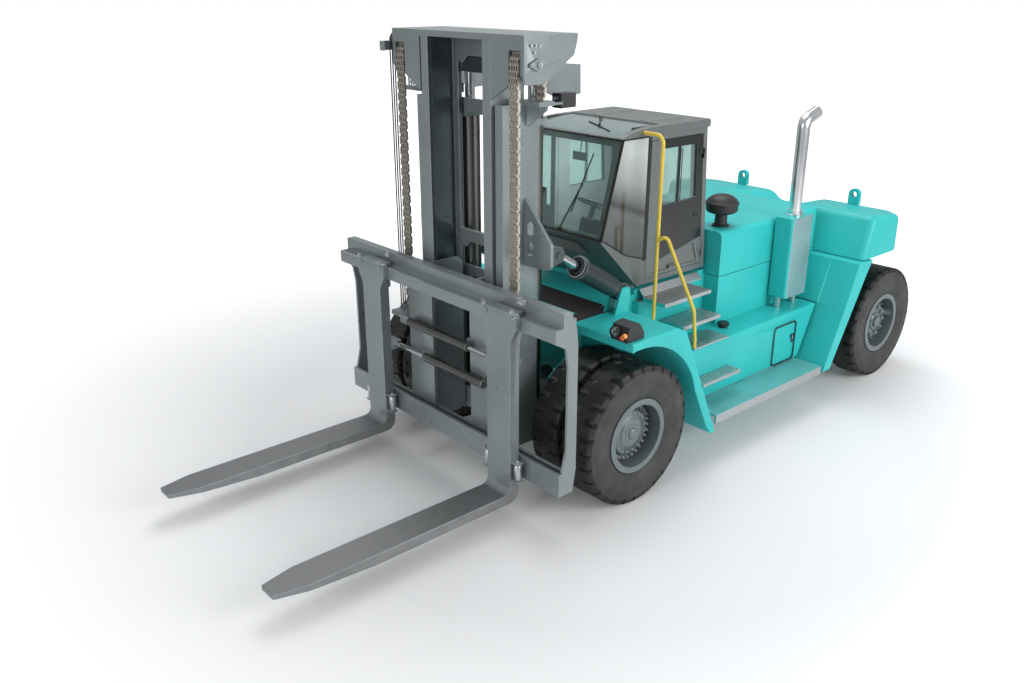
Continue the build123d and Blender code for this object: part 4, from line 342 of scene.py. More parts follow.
# %% Bare metals
METALS = {  # name: colour, roughness, stretch of the brushing, its scale, its strength
    "chrome_rod": ((0.62, 0.63, 0.64), 0.10, (1, 1, 30), 12.0, 0.02),
    "stack_metal": ((0.88, 0.89, 0.90), 0.20, (1, 1, 0.3), 6.0, 0.0),
    "tread_metal": ((0.56, 0.58, 0.59), 0.38, (1, 12, 1), 30.0, 0.10),
    "fork_steel": ((0.34, 0.345, 0.35), 0.46, (18, 1, 1), 9.0, 0.12),
    "chain_steel": ((0.56, 0.52, 0.45), 0.46, (1, 1, 1), 60.0, 0.15),
    "bolt_steel": ((0.62, 0.63, 0.64), 0.30, (1, 1, 1), 50.0, 0.10),
    "cylinder_steel": ((0.170, 0.167, 0.163), 0.30, (1, 1, 0.2), 3.0, 0.0),
    "mirror_metal": ((0.75, 0.76, 0.78), 0.08, (1, 1, 1), 5.0, 0.01),
}


def make_metal(name, colour, roughness, stretch, scale, strength):
    material, tree, shader = new_material(name, Metallic=1.0)
    grain = noise(tree, scale, 8, stretch)
    put(tree, shader, Base_Color=ramp(tree, grain, [(0.3, tint(colour, 0.85)), (0.7, tint(colour, 1.10))]),
        Roughness=fit_range(tree, grain, 0.3, 0.7, roughness * 0.8, roughness * 1.35))
    bump(tree, shader, grain, strength, 0.0008)
    return material


finish.update({name: make_metal(name, *row) for name, row in METALS.items()})
print(len(METALS), "bare metals")

# %% [markdown]
# Perforated sheet is used where oil and mud must fall through, on the treads, or where heat must get
# out, on the muffler's shield. Thousands of real holes would cost too many faces, so the holes are
# drawn: the Object coordinates are cut into small squares, and each square's middle goes dark and low.


# %% Perforated sheets
def round_holes(tree, pitch, radius, ways):
    """1 inside holes on a square grid of that pitch, along the ways that are 1."""
    value = object_place(tree)
    for operation, vector in (("MULTIPLY", [way / pitch for way in ways]), ("FRACTION", None),
                              ("SUBTRACT", [way / 2 for way in ways]), ("LENGTH", None)):
        node = add_node(tree, "VectorMath")
        node.operation = operation
        feed(tree, [value, vector] if vector else [value], node.inputs)
        value = node.outputs["Value" if operation == "LENGTH" else "Vector"]
    share = radius / pitch
    return fit_range(tree, value, share * 0.85, share * 1.15, 1.0, 0.0)


SHEETS = {  # name: colour, metal, roughness, pitch, hole radius, ways, colour in the holes
    "tread_sheet": ((0.60, 0.62, 0.62), 0.85, 0.36, 0.040, 0.011, (1, 1, 0), (0.03, 0.05, 0.05, 1)),
    "board_sheet": ((0.10, 0.50, 0.50), 0.15, 0.42, 0.036, 0.010, (1, 1, 0), (0.30, 0.42, 0.43, 1)),
    "shield_sheet": ((0.40, 0.58, 0.60), 0.55, 0.34, 0.016, 0.0042, (0, 1, 1), (0.14, 0.24, 0.25, 1)),
    "lamp_bar_sheet": ((0.40, 0.42, 0.43), 0.60, 0.40, 0.030, 0.009, (1, 0, 1), (0.04, 0.04, 0.04, 1)),
}
for name, (colour, metal, roughness, pitch, radius, ways, dark) in SHEETS.items():
    material, tree, shader = new_material(name, Metallic=metal)
    holes = round_holes(tree, pitch, radius, ways)
    tone = ramp(tree, noise(tree, 3.0, 6), [(0.3, tint(colour, 0.85)), (0.7, tint(colour, 1.08))])
    rub = fit_range(tree, noise(tree, 14.0, 6), 0.3, 0.7, roughness - 0.06, roughness + 0.1)
    put(tree, shader, Base_Color=blend_colour(tree, holes, tone, dark), Roughness=rub)
    bump(tree, shader, fit_range(tree, holes, 0.0, 1.0, 1.0, 0.0), 0.5, 0.004)
    finish[name] = material
print(len(SHEETS), "perforated sheets")

# %% [markdown]
# Rubber, plastic and cloth. Tyre rubber on a working truck is a brownish dark grey, paler on the
# sidewalls where dust stays. Black plastic has a fine moulded grain, and seat cloth a woven one.

# %% Rubber, plastics and cloth
DULL = {  # name: colour, lighter colour, roughness, grain scale, grain strength
    "tyre_rubber": ((0.034, 0.034, 0.034), (0.066, 0.064, 0.062), 0.58, 90.0, 0.30),
    "tread_rubber": ((0.007, 0.007, 0.007), (0.016, 0.016, 0.015), 0.50, 70.0, 0.30),
    # The slots' rubber is near black: painted shade in the slots.
    "groove_rubber": ((0.001, 0.001, 0.001), (0.003, 0.003, 0.003), 0.95, 60.0, 0.30),
    "black_rubber": ((0.010, 0.010, 0.010), (0.022, 0.022, 0.022), 0.60, 160.0, 0.25),
    "black_plastic": ((0.014, 0.014, 0.015), (0.028, 0.028, 0.030), 0.46, 420.0, 0.30),
    "inside_trim": ((0.260, 0.275, 0.275), (0.330, 0.345, 0.345), 0.62, 300.0, 0.25),
    "seat_cloth": ((0.016, 0.017, 0.020), (0.040, 0.041, 0.046), 0.90, 600.0, 0.60),
}


def make_dull(name, dark, light, roughness, scale, strength):
    material, tree, shader = new_material(name)
    broad = noise(tree, 5.0, 6)
    fine = noise(tree, scale, 3)
    put(tree, shader, Base_Color=ramp(tree, broad, [(0.35, dark), (0.72, light)]),
        Roughness=fit_range(tree, fine, 0.3, 0.7, roughness - 0.06, roughness + 0.10))
    bump(tree, shader, fine, strength, 0.001)
    return material


finish.update({name: make_dull(name, *row) for name, row in DULL.items()})
print(len(DULL), "rubbers, plastics and cloth")

# %% [markdown]
# Safety glass has a green body tint, which multiplies what is seen through it, and a painted reflection
# of light on its face. A refracting shader would cut off the lamps and leave the cab dark. So a pane is
# a tinted transparent surface mixed with a clear coated one, whose colour is that painted reflection,
# more of it at grazing angles. The lenses of the lamps are plain coloured plastic under a clear coat.


# %% Glass
def make_pane(name, body_tint, reflection_colour, reflection_low, reflection_high):
    material, tree, shader = new_material(name, Roughness=0.04, Coat_Weight=1.0, Coat_Roughness=0.02)
    put(tree, shader, Base_Color=reflection_colour(tree))
    bump(tree, shader, noise(tree, 1.5, 1), 0.02, 0.01)
    clear = add_node(tree, "BsdfTransparent", Color=(*body_tint, 1))
    facing = add_node(tree, "LayerWeight", Blend=0.35).outputs["Facing"]
    share = fit_range(tree, facing, 0.0, 1.0, reflection_low, reflection_high)
    shown = mix_shaders(tree, share, clear.outputs[0], shader.outputs[0])
    put(tree, tree.nodes["Material Output"], Surface=shown)
    return material


# The colour of the panes' coated face: a painted reflection of the pale studio.
def plain_painted_reflection(tree):
    return ramp(tree, noise(tree, 2.0, 2), [(0.3, (0.30, 0.40, 0.385)), (0.7, (0.36, 0.46, 0.44))])


def painted_sky_reflection(tree):
    """A painted reflection on the quarter panes: a bright sky above a dark ground line, which bends with the
    glass.
    """
    parts = add_node(tree, "SeparateXYZ", Vector=object_place(tree)).outputs
    bend = combine(tree, "MULTIPLY", parts["Y"], 0.35)
    height = fit_range(tree, combine(tree, "ADD", parts["Z"], bend), 2.0, 3.4, 0.0, 1.0)
    return ramp(tree, height, [
        (0.05, (0.055, 0.058, 0.056)), (0.38, (0.16, 0.165, 0.162)), (0.43, (0.045, 0.046, 0.044)),
        (0.47, (0.16, 0.162, 0.160)), (0.62, (0.48, 0.485, 0.48)), (0.85, (0.74, 0.77, 0.77))])


def make_lens(name, colour, roughness):
    material, tree, shader = new_material(name, Roughness=roughness, Coat_Weight=1.0, Coat_Roughness=0.03)
    put(tree, shader, Base_Color=ramp(tree, noise(tree, 12.0, 2), [(0.3, colour), (0.7, tint(colour, 1.15))]))
    bump(tree, shader, noise(tree, 160.0, 2), 0.15, 0.002)
    return material


PANES = {  # name: tint of the glass, painted reflection, its share seen square on and along the pane
    "roof_pane": ((0.80, 0.90, 0.88), plain_painted_reflection, 0.62, 0.90),
    "cab_pane": ((0.82, 0.92, 0.90), plain_painted_reflection, 0.17, 0.58),
    "quarter_pane": ((0.62, 0.74, 0.72), painted_sky_reflection, 0.66, 0.90),
}
LENSES = {  # name: colour, roughness
    "lamp_lens": ((0.62, 0.64, 0.66), 0.12),
    "red_lens": ((0.72, 0.030, 0.022), 0.18),
    "amber_lens": ((0.85, 0.24, 0.02), 0.18),
}
finish.update({name: make_pane(name, *row) for name, row in PANES.items()})
finish.update({name: make_lens(name, *row) for name, row in LENSES.items()})
print("glass and lenses made")

# %% [markdown]
# Every new piece ends the same way: its faces turn outwards, its mesh gets smooth sides that stay sharp
# at real edges, its finishes and the body that it moves with. Most pieces are a list of steps, each a
# helper and its numbers. A place that comes as plain numbers counts its y from the front axle.

# %% Helpers that finish a piece
BODY_OF = {node: body for body, members in frame["record"]["behaviour"]["bodies"].items() for node in members}
TEAL = ["teal_paint", "teal_edge"]
MAST = ["mast_paint", "mast_edge"]
CAB = ["cab_paint", "cab_edge"]
PLASTIC = ["black_plastic"]
RUBBER = ["black_rubber"]
BOLTS = ["bolt_steel"]


def show(bm, name, body, finishes, replaced=(), sharp=38, rounding=0.0, edge=None, face_out=True):
    """Makes a bmesh a piece of the truck. rounding bevels its edges, and edge numbers their lighter finish, a
    painted highlight.
    """
    if face_out:
        bmesh.ops.recalc_face_normals(bm, faces=bm.faces)
    mesh = bpy.data.meshes.new(name)
    bm.to_mesh(mesh)
    bm.free()
    for finish_name in finishes:
        mesh.materials.append(finish[finish_name])
    mesh.shade_smooth()
    mesh.set_sharp_from_angle(angle=math.radians(sharp))
    piece = bpy.data.objects.new(name, mesh)
    scene.collection.objects.link(piece)
    if rounding:
        bevel = piece.modifiers.new("rounded_edges", "BEVEL")
        bevel.width = rounding
        bevel.segments = 2
        bevel.limit_method = "ANGLE"
        bevel.angle_limit = math.radians(sharp)
        bevel.harden_normals = True
        if edge is not None:
            bevel.material = edge
    if body:
        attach(piece, body)
    if replaced:
        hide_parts(*replaced)
    return piece


def build(name, body, finishes, steps, **how):
    """Makes a piece from steps. A step is a helper and what it is given after the mesh."""
    bm = bmesh.new()
    for helper, *given in steps:
        helper(bm, *given)
    return show(bm, name, body, finishes, **how)


def at(place):
    """A vector as it is, or plain numbers as a place whose y counts from the front axle."""
    return place if isinstance(place, Vector) else spot(*place)


def rod(bm, start, end, radius, segments=16, end_radius=None):
    """A round bar between two places, or a cone when its end radius differs."""
    start, end = at(start), at(end)
    turn = (end - start).to_track_quat("Z", "Y").to_matrix().to_4x4()
    bmesh.ops.create_cone(bm, cap_ends=True, segments=segments, radius1=radius,
                          radius2=radius if end_radius is None else end_radius,
                          depth=(end - start).length, matrix=Matrix.Translation((start + end) / 2) @ turn)


def slab(bm, low, high):
    """A block between two opposite corners."""
    low, high = at(low), at(high)
    bmesh.ops.create_cube(bm, size=1.0, matrix=Matrix.LocRotScale((low + high) / 2, None, high - low))


def raise_faces(bm, faces, way):
    """Pulls joined faces into a closed plate along the vector way."""
    grown = bmesh.ops.extrude_face_region(bm, geom=faces)["geom"]
    bmesh.ops.translate(bm, verts=[part for part in grown if isinstance(part, bmesh.types.BMVert)], vec=way)


def plate(bm, outline, way):
    """A flat plate: its outline's points in order, and the vector of its thickness."""
    raise_faces(bm, [bm.faces.new([bm.verts.new(at(point)) for point in outline])], way)


def border(bm, outline, width, way):
    """A band of that width just inside an outline, with the vector of its thickness."""
    face = bm.faces.new([bm.verts.new(at(point)) for point in outline])
    face.normal_update()
    ring = bmesh.ops.inset_individual(bm, faces=[face], thickness=width, use_even_offset=True)["faces"]
    bmesh.ops.delete(bm, geom=[face], context="FACES_ONLY")
    raise_faces(bm, list(ring), way)


def turned(bm, profile, start, way, steps=48):
    """Spins a profile of (distance along the axle, radius) about an axle line through start."""
    way = Vector(way).normalized()
    aside = way.orthogonal().normalized()
    start = at(start)
    verts = [bm.verts.new(start + way * along + aside * radius) for along, radius in profile]
    edges = [bm.edges.new(pair) for pair in zip(verts, verts[1:])]
    if profile[0][1] > 0 and profile[-1][1] > 0:
        edges.append(bm.edges.new((verts[-1], verts[0])))
    bmesh.ops.spin(bm, geom=verts + edges, cent=start, axis=way, angle=2 * math.pi, steps=steps,
                   use_merge=True)
    bmesh.ops.remove_doubles(bm, verts=bm.verts, dist=1e-5)


def upright(x, outline):
    """An outline of (y, z) points in the upright plane at x."""
    return [spot(x, y, z) for y, z in outline]


def copy_of(node):
    """A node's mesh as a bmesh whose loose triangles are merged back into whole faces."""
    bm = bmesh.new()
    bm.from_mesh(nodes[node].data)
    bmesh.ops.remove_doubles(bm, verts=bm.verts, dist=2e-5)
    bmesh.ops.dissolve_limit(bm, angle_limit=math.radians(0.6), verts=bm.verts, edges=bm.edges)
    return bm


def dress(node, finishes, rules=(), cuts=(), rounding=0.004, edge=None):
    """Replaces a node by a copy of itself whose faces take other finishes where a rule holds.

    A rule is (number of the finish, test), and the test gets a face's middle, its y counted from the
    front axle, and its normal. A cut is (point, normal) of a plane that splits faces for the rules.
    """
    bm = copy_of(node)
    for point, normal in cuts:
        bmesh.ops.bisect_plane(bm, geom=bm.verts[:] + bm.edges[:] + bm.faces[:], dist=1e-5,
                               plane_co=spot(*point), plane_no=Vector(normal))
    for face in bm.faces:
        face.material_index = 0
        middle = face.calc_center_median()
        middle.y -= FRONT_AXLE_Y
        for number, test in rules:
            if test(middle, face.normal):
                face.material_index = number
    return show(bm, node + "_dressed", BODY_OF[node], finishes, [node], rounding=rounding, edge=edge,
                face_out=False)


# %% [markdown]
# These tyres have a nearly plain crown. Short slots run in from both shoulders, and those of one side
# stand half a pitch from those of the other. The section, with the rings of its sidewall, is spun
# about the axle in six steps to each slot. Then one step in six is picked near the shoulders, and a
# single extrusion sinks all the slots, crown and shoulder together.

# %% Tyres
TYRES = {"front_tyres_": [(1.4975, 0.0), (1.0825, 0.0)], "rear_tyre_": [(1.4245, WHEELBASE)]}
SLOTS = 28
STEPS_PER_SLOT = 6
STEP_ANGLE = 2 * math.pi / (SLOTS * STEPS_PER_SLOT)
SLOT_DEPTH = 0.052
SLOT_IN = 0.030
SHOULDER_RADIUS = 0.645
HALF_SECTION = [  # distance from the tyre's middle, radius
    (0.1465, 0.338), (0.1465, 0.386), (0.158, 0.395), (0.166, 0.430), (0.1705, 0.436), (0.1715, 0.446),
    (0.1745, 0.462), (0.1785, 0.466), (0.1795, 0.520), (0.1825, 0.526), (0.1830, 0.590), (0.1800, 0.598),
    (0.1775, 0.630), (0.1755, 0.657), (0.1725, 0.680), (0.1600, 0.7060), (0.1450, 0.7118), (0.1150, 0.7120),
    (0.0780, 0.7120), (0.0390, 0.7116), (0.0, 0.7112),
]


def add_tyre(bm, middle):
    """A tyre with its slots. Finishes: 0 sidewall, 1 tread, 2 slots, near black as painted shade."""
    section = HALF_SECTION + [(-x, r) for x, r in reversed(HALF_SECTION[:-1])]
    verts = [bm.verts.new((x, 0, r)) for x, r in section]
    edges = [bm.edges.new(pair) for pair in zip(verts, verts[1:] + verts[:1])]
    before = set(bm.faces)
    bmesh.ops.spin(bm, geom=verts + edges, cent=(0, 0, 0), axis=(1, 0, 0), angle=2 * math.pi,
                   steps=SLOTS * STEPS_PER_SLOT, use_merge=True)
    bmesh.ops.remove_doubles(bm, verts=bm.verts, dist=1e-6)
    bm.normal_update()
    skin = [face for face in bm.faces if face not in before]
    slots = []
    for face in skin:
        centre = face.calc_center_median()
        radius = math.hypot(centre.y, centre.z)
        step = round(math.atan2(centre.y, centre.z) / STEP_ANGLE - 0.5)
        if centre.x < 0:
            step += STEPS_PER_SLOT // 2
        face.material_index = 1 if radius > 0.65 else 0
        if radius > SHOULDER_RADIUS and abs(centre.x) > 0.08 and step % STEPS_PER_SLOT == 0:
            slots.append(face)
    ring = {vert for face in skin for vert in face.verts}
    grown = bmesh.ops.extrude_face_region(bm, geom=slots)["geom"]
    sunk = {part for part in grown if isinstance(part, bmesh.types.BMVert)}
    slot_floors = {part for part in grown if isinstance(part, bmesh.types.BMFace)}
    for face in slot_floors | {face for vert in sunk for face in vert.link_faces}:
        face.material_index = 2
    for vert in sunk:
        radius = math.hypot(vert.co.y, vert.co.z)
        crown = min(1.0, max(0.0, (radius - SHOULDER_RADIUS) / 0.050))
        vert.co.yz = [part * (radius - SLOT_DEPTH * crown) / radius for part in vert.co.yz]
        vert.co.x -= math.copysign(SLOT_IN * (abs(vert.co.x) > 0.15), vert.co.x)
    bmesh.ops.translate(bm, verts=list(ring | sunk), vec=middle)


for side in LEFT_AND_RIGHT:
    for start, places in TYRES.items():
        node = start + SIDE_NAMES[side]
        tyres = build(node + "_treaded", BODY_OF[node], ["tyre_rubber", "tread_rubber", "groove_rubber"],
                      [(add_tyre, spot(side * x, y, AXLE_Z)) for x, y in places], replaced=[node])
print("faces of a rear tyre", len(tyres.data.polygons))

# %% [markdown]
# The rims are right as packed, but bare. Trucks of this size clamp their wheels with a ring of nuts
# deep in the dish, on studs that stand out of them, and the disc lies in shade between the nuts and the
# gutter, so a thin dark ring is laid there as painted shade. The hub's end cover has smaller bolts and a
# raised cap. A nut is a six-sided cone with a round washer, each ring of them is one mesh, and a table
# holds what differs between front and rear.


# %% Wheel nuts and hub covers
def add_nut(bm, middle, way, size, height):
    """A nut with its washer and stud, standing on middle and pointing along way."""
    rod(bm, middle, middle + way * height * 0.18, size * 1.25, 12)
    rod(bm, middle, middle + way * height, size, 6, size * 0.96)
    rod(bm, middle, middle + way * height * 1.45, size * 0.52, 8)


def ring_places(middle, radius, count, offset):
    for number in range(count):
        angle = 2 * math.pi * (number + offset) / count
        yield middle + Vector((0, radius * math.cos(angle), radius * math.sin(angle)))


for node in ("front_rims_left", "front_rims_right", "rear_rim_left", "rear_rim_right"):
    dress(node, ["rim_paint"], rounding=0.0)

SHADE_RING = [(0.0, 0.234), (0.0015, 0.234), (0.0015, 0.318), (0.0, 0.318)]
HUBS = [  # name, body, y, x and profile of the cap, rings of nuts: x, radius, count, offset, size, height
    ("front", "front_wheels_", 0.0, 1.570,
     [(-0.004, 0.0), (-0.004, 0.150), (0.006, 0.150), (0.010, 0.144), (0.010, 0.100), (0.016, 0.094),
      (0.016, 0.062), (0.030, 0.054), (0.036, 0.040), (0.036, 0.0)],
     [(1.5055, 0.270, 28, 0.0, 0.018, 0.030), (1.560, 0.198, 16, 0.5, 0.009, 0.010)]),
    ("rear", "rear_wheel_", WHEELBASE, 1.497,
     [(-0.004, 0.0), (-0.004, 0.112), (0.012, 0.112), (0.020, 0.104), (0.020, 0.078), (0.046, 0.070),
      (0.054, 0.050), (0.056, 0.0)],
     [(1.4325, 0.284, 20, 0.0, 0.017, 0.024), (1.511, 0.172, 10, 0.0, 0.014, 0.018)]),
]
for side in LEFT_AND_RIGHT:
    way = Vector((side, 0, 0))
    for name, body, y, cap_x, cap, rings in HUBS:
        body += SIDE_NAMES[side]
        steps = [(add_nut, place, way, size, height) for x, radius, count, offset, size, height in rings
                 for place in ring_places(spot(side * x, y, AXLE_Z), radius, count, offset)]
        nuts = build(f"{name}_wheel_nuts_{SIDE_NAMES[side]}", body, ["nut_finish"], steps)
        # A thin dark ring of painted shade on the disc between the nuts and the gutter.
        build(f"{name}_painted_shade_ring_{SIDE_NAMES[side]}", body, ["rim_shade_paint"],
              [(turned, SHADE_RING, (side * rings[0][0], y, AXLE_Z), way)])
        build(f"{name}_hub_cap_{SIDE_NAMES[side]}", body, ["rim_paint"],
              [(turned, cap, (side * cap_x, y, AXLE_Z), way)])
print("faces in the nuts of a rear wheel", len(nuts.data.polygons))

# %% [markdown]
# Leaf chains carry the fork carriage over the sheaves at the mast's head. They are stacks of plates
# with waists, held by pins, and every other row of plates is shifted by one pin. A plate is a small
# outline of two round ends. The rows follow the chain's path: up in front, half round the sheave, and
# down behind, where a shorter run is anchored to the outer mast. When the mast lifts, the front run
# shortens and the rear run grows. Here each run is built as one fixed mesh.

# %% Lift chains
CHAIN_X = 0.826
CHAIN_FOOT_Z = 1.5
ANCHOR_Z = 3.82
SHEAVE = spot(0, -0.700, 4.136)
CHAIN_RADIUS = 0.151
PLATE_COUNT = 8
PLATE_THICK = 0.0115
PLATE_END_RADIUS = 0.0155
PLATE_WAIST = 0.0115
CHAIN_HALF = 0.060
FRONT_ROWS, WRAP_ROWS, REAR_ROWS = 50, 9, 6


def add_plate_row(bm, start, end, x_middle, shifted):
    """The plates between two pins: each is an outline with round ends, pulled into its thickness."""
    along = (end - start).normalized()
    across_way = Vector((0, -along.z, along.y))
    waist = start + along * (end - start).length * 0.5
    outline = []
    for pin, sense, bend in ((start, -PLATE_END_RADIUS, PLATE_WAIST), (end, PLATE_END_RADIUS, -PLATE_WAIST)):
        for angle in (30, 75, 105, 150):
            outline.append(pin + along * sense * math.sin(math.radians(angle))
                           + across_way * sense * math.cos(math.radians(angle)))
        outline.append(waist + across_way * bend)
    pitch = 2 * CHAIN_HALF / PLATE_COUNT
    for number in range(PLATE_COUNT // 2):
        low = x_middle - CHAIN_HALF + pitch * (2 * number + shifted) + (pitch - PLATE_THICK) / 2
        plate(bm, [Vector((low, point.y, point.z)) for point in outline], (PLATE_THICK, 0, 0))


def add_chain(bm, pins, x_middle):
    for number, (start, end) in enumerate(zip(pins, pins[1:])):
        add_plate_row(bm, start, end, x_middle, number % 2)
    for pin in pins:
        low, high = (Vector((x_middle + x, pin.y, pin.z)) for x in (-CHAIN_HALF - 0.003, CHAIN_HALF + 0.003))
        rod(bm, low, high, 0.006, 8)


def straight(y, low, high, steps):
    """Points up a straight run from one height to another."""
    return [Vector((0, y, low + (high - low) * k / steps)) for k in range(steps + 1)]


def over(middle, radius, steps):
    """Points over the top of a wheel, from its front to its back, without the first one."""
    return [middle + radius * Vector((0, -math.cos(math.pi * k / steps), math.sin(math.pi * k / steps)))
            for k in range(1, steps + 1)]


front_y, rear_y = SHEAVE.y - CHAIN_RADIUS, SHEAVE.y + CHAIN_RADIUS
front_pins = straight(front_y, CHAIN_FOOT_Z, SHEAVE.z, FRONT_ROWS) + over(SHEAVE, CHAIN_RADIUS, WRAP_ROWS)
chain = build("front_chain_links", None, ["chain_steel"],
              [(add_chain, front_pins, side * CHAIN_X) for side in LEFT_AND_RIGHT],
              replaced=["lift_chains_front"])
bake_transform(chain)
print("faces in the front chains", len(chain.data.polygons))
rear_pins = straight(rear_y, ANCHOR_Z, SHEAVE.z, REAR_ROWS)
chain = build("rear_chain_links", None, ["chain_steel"],
              [(add_chain, rear_pins, side * CHAIN_X) for side in LEFT_AND_RIGHT],
              replaced=["lift_chains_rear"])
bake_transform(chain)

# %% [markdown]
# Three hoses beside the right chain feed the fork cylinders. They run up, over a pulley and down again
# behind, as fixed meshes. A hose is a ring of points pushed along its path step by step. Pressed
# sleeves with hexagons grip their ends.

# %% Mast hoses
HOSES_X = (-0.992, -1.030, -1.068)
HOSE_RADIUS = 0.0065
HOSE_SIDES = 10
PULLEY = spot(0, -0.700, 4.240)
PULLEY_RADIUS = 0.105


def add_hose(bm, points, x):
    """A tube through points of one upright plane."""
    rings = []
    for number, point in enumerate(points):
        before = points[max(0, number - 1)]
        after = points[min(len(points) - 1, number + 1)]
        along = (after - before).normalized()
        outward = Vector((0, along.z, -along.y))
        ring = []
        for k in range(HOSE_SIDES):
            angle = 2 * math.pi * k / HOSE_SIDES
            offset = outward * math.cos(angle) + Vector((math.sin(angle), 0, 0))
            ring.append(bm.verts.new(Vector((x, point.y, point.z)) + offset * HOSE_RADIUS))
        rings.append([bm.edges.new(pair) for pair in zip(ring, ring[1:] + ring[:1])])
    for low_ring, high_ring in zip(rings, rings[1:]):
        bmesh.ops.bridge_loops(bm, edges=low_ring + high_ring)
    for end in (rings[0], rings[-1]):
        bmesh.ops.edgenet_fill(bm, edges=end)


hose_front, hose_rear = PULLEY.y - PULLEY_RADIUS, PULLEY.y + PULLEY_RADIUS
front_run = straight(hose_front, CHAIN_FOOT_Z, PULLEY.z, 24) + over(PULLEY, PULLEY_RADIUS, 12)
rear_run = straight(hose_rear, ANCHOR_Z, PULLEY.z, 8)
for node, first, second, y, points, start_z, end_z in (
        ("mast_hoses_front", "inner_stage", "carriage", hose_front, front_run, PULLEY.z, CHAIN_FOOT_Z),
        ("mast_hoses_rear", "mast", "inner_stage", hose_rear, rear_run, ANCHOR_Z, PULLEY.z)):
    hose = build(node + "_rubber", None, RUBBER, [(add_hose, points, x) for x in HOSES_X], replaced=[node])
    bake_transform(hose)
for name, body, y, low in (("front", "carriage", hose_front, CHAIN_FOOT_Z),
                           ("rear", "mast", hose_rear, ANCHOR_Z)):
    build(name + "_hose_sleeves", body, BOLTS,
          [(rod, Vector((x, y, low)), Vector((x, y, low + long)), radius, sides)
           for x in HOSES_X for long, radius, sides in ((0.055, 0.0105, 16), (0.016, 0.0118, 6))])
print("hoses and sleeves made")

# %% [markdown]
# The CAD nodes whose look is one finish keep their mesh and only take a material.

# %% Finishes on the plain nodes
CAD_FINISH = {
    "teal_shade_paint": "chassis_frame mast_mount",
    "mast_paint": "chain_sheaves",
    "iron_finish": "drive_axle steer_axle steer_knuckle_left steer_knuckle_right engine_block",
    "rail_paint": "handrails",
    "chrome_rod": "lift_rods tilt_rods",
    "stack_metal": "exhaust_stack",
    "black_plastic": "cab_controls",
    "cab_pane": "door_glass_left door_glass_right",
}
for name, members in CAD_FINISH.items():
    for member in members.split():
        nodes[member].data.materials.clear()
        nodes[member].data.materials.append(finish[name])
print("finishes on the plain nodes:", *CAD_FINISH)

# %% [markdown]
# Sheet metal that was folded or welded has small round edges that catch the light. So the painted nodes
# are replaced by copies of themselves with every edge bevelled, and the bevel itself takes a lighter,
# glossier paint: a painted highlight along the edges.

# %% Painted bodywork
for node in ("side_tanks", "tank_hatch", "side_covers", "engine_hood", "rear_wheel_walls"):
    dress(node, TEAL, edge=1)


def under_the_cylinders(c, n):
    """The top of the frame between the fenders: a dark mat, and painted shade under the tilt cylinders."""
    return n.z > 0.5 and c.y < 0.50 and abs(c.x) < 0.86


for node in ("front_fenders", "body_cover"):
    dress(node, TEAL + ["deck_mat"], rules=[(2, under_the_cylinders)],
          cuts=[((0, 0.50, 0), (0, 1, 0)), ((0.86, 0, 0), (1, 0, 0)), ((-0.86, 0, 0), (1, 0, 0))], edge=1)


def inside_the_channels(c, n):
    """Faces that look at the truck's middle, which the photograph shows in shade."""
    return n.x * math.copysign(1, c.x) < -0.7 and abs(c.x) < 0.52


# The mast round each tilt cylinder's eye also takes the painted shade.
def at_the_tilt_eye(c, n):
    return math.hypot(c.y + 0.427, c.z - 2.442) < 0.11 and abs(c.x) > 0.80


for node in ("outer_mast", "inner_mast", "mast_head"):
    dress(node, MAST + ["mast_shade_paint"], rules=[(2, inside_the_channels), (2, at_the_tilt_eye)], edge=1)
dress("fork_carriage", MAST, edge=1)
# The bevels of the cylinders also take a lighter finish, a painted highlight.
dress("lift_cylinders", ["cylinder_steel", "mast_edge"], rounding=0.003, edge=1)
dress("tilt_cylinders", ["cylinder_paint", "mast_edge"], rounding=0.003, edge=1)
dress("positioner_cylinders", ["cylinder_steel", "bolt_steel"], rounding=0.002, edge=1)
print("bodywork dressed")

# %% [markdown]
# The counterweight is one iron casting, so all its corners are generously round, and its top has a
# hollow in the middle through which the driver looks back. The block is drawn as an outline seen from
# behind and pulled along the truck. Planes then slice off the slopes, and one wide bevel rounds every
# corner but those of its flat foot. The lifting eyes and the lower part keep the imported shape.

# %% Counterweight
WEIGHT_BACK = [(-1.588, 1.662), (1.588, 1.662), (1.576, 2.40), (0.85, 2.40), (0.22, 1.975),
               (-0.22, 1.975), (-0.85, 2.40), (-1.576, 2.40)]
WEIGHT_SLICES = [  # a point of the plane, the way that is cut off
    ((0, 4.075, 1.662), (0, -0.508, 0.17)), ((0, 4.14, 2.185), (0, 0.105, 0.97)),
    ((0, 5.108, 2.085), (0, 0.398, -0.09)), ((1.59, 4.86, 2), (0.165, 0.16, 0)),
    ((-1.59, 4.86, 2), (-0.165, 0.16, 0)),
]
WEIGHT_FOOT_Z = 1.68
bm = bmesh.new()
plate(bm, [(x, 3.9, z) for x, z in WEIGHT_BACK], (0, 1.4, 0))
for point, way in WEIGHT_SLICES:
    made = bmesh.ops.bisect_plane(bm, geom=bm.verts[:] + bm.edges[:] + bm.faces[:], dist=1e-6,
                                  plane_co=spot(*point), plane_no=Vector(way).normalized(), clear_outer=True)
    rim = [part for part in made["geom_cut"] if isinstance(part, bmesh.types.BMEdge)]
    bmesh.ops.edgenet_fill(bm, edges=rim)
bmesh.ops.recalc_face_normals(bm, faces=bm.faces)
corners = [edge for edge in bm.edges if edge.calc_face_angle(0) > math.radians(15)
           and max(vert.co.z for vert in edge.verts) >= WEIGHT_FOOT_Z]
bmesh.ops.bevel(bm, geom=corners, offset=0.080, segments=6, profile=0.5, affect="EDGES", clamp_overlap=True,
                material=-1)
weight = show(bm, "counterweight_casting", "chassis", TEAL)


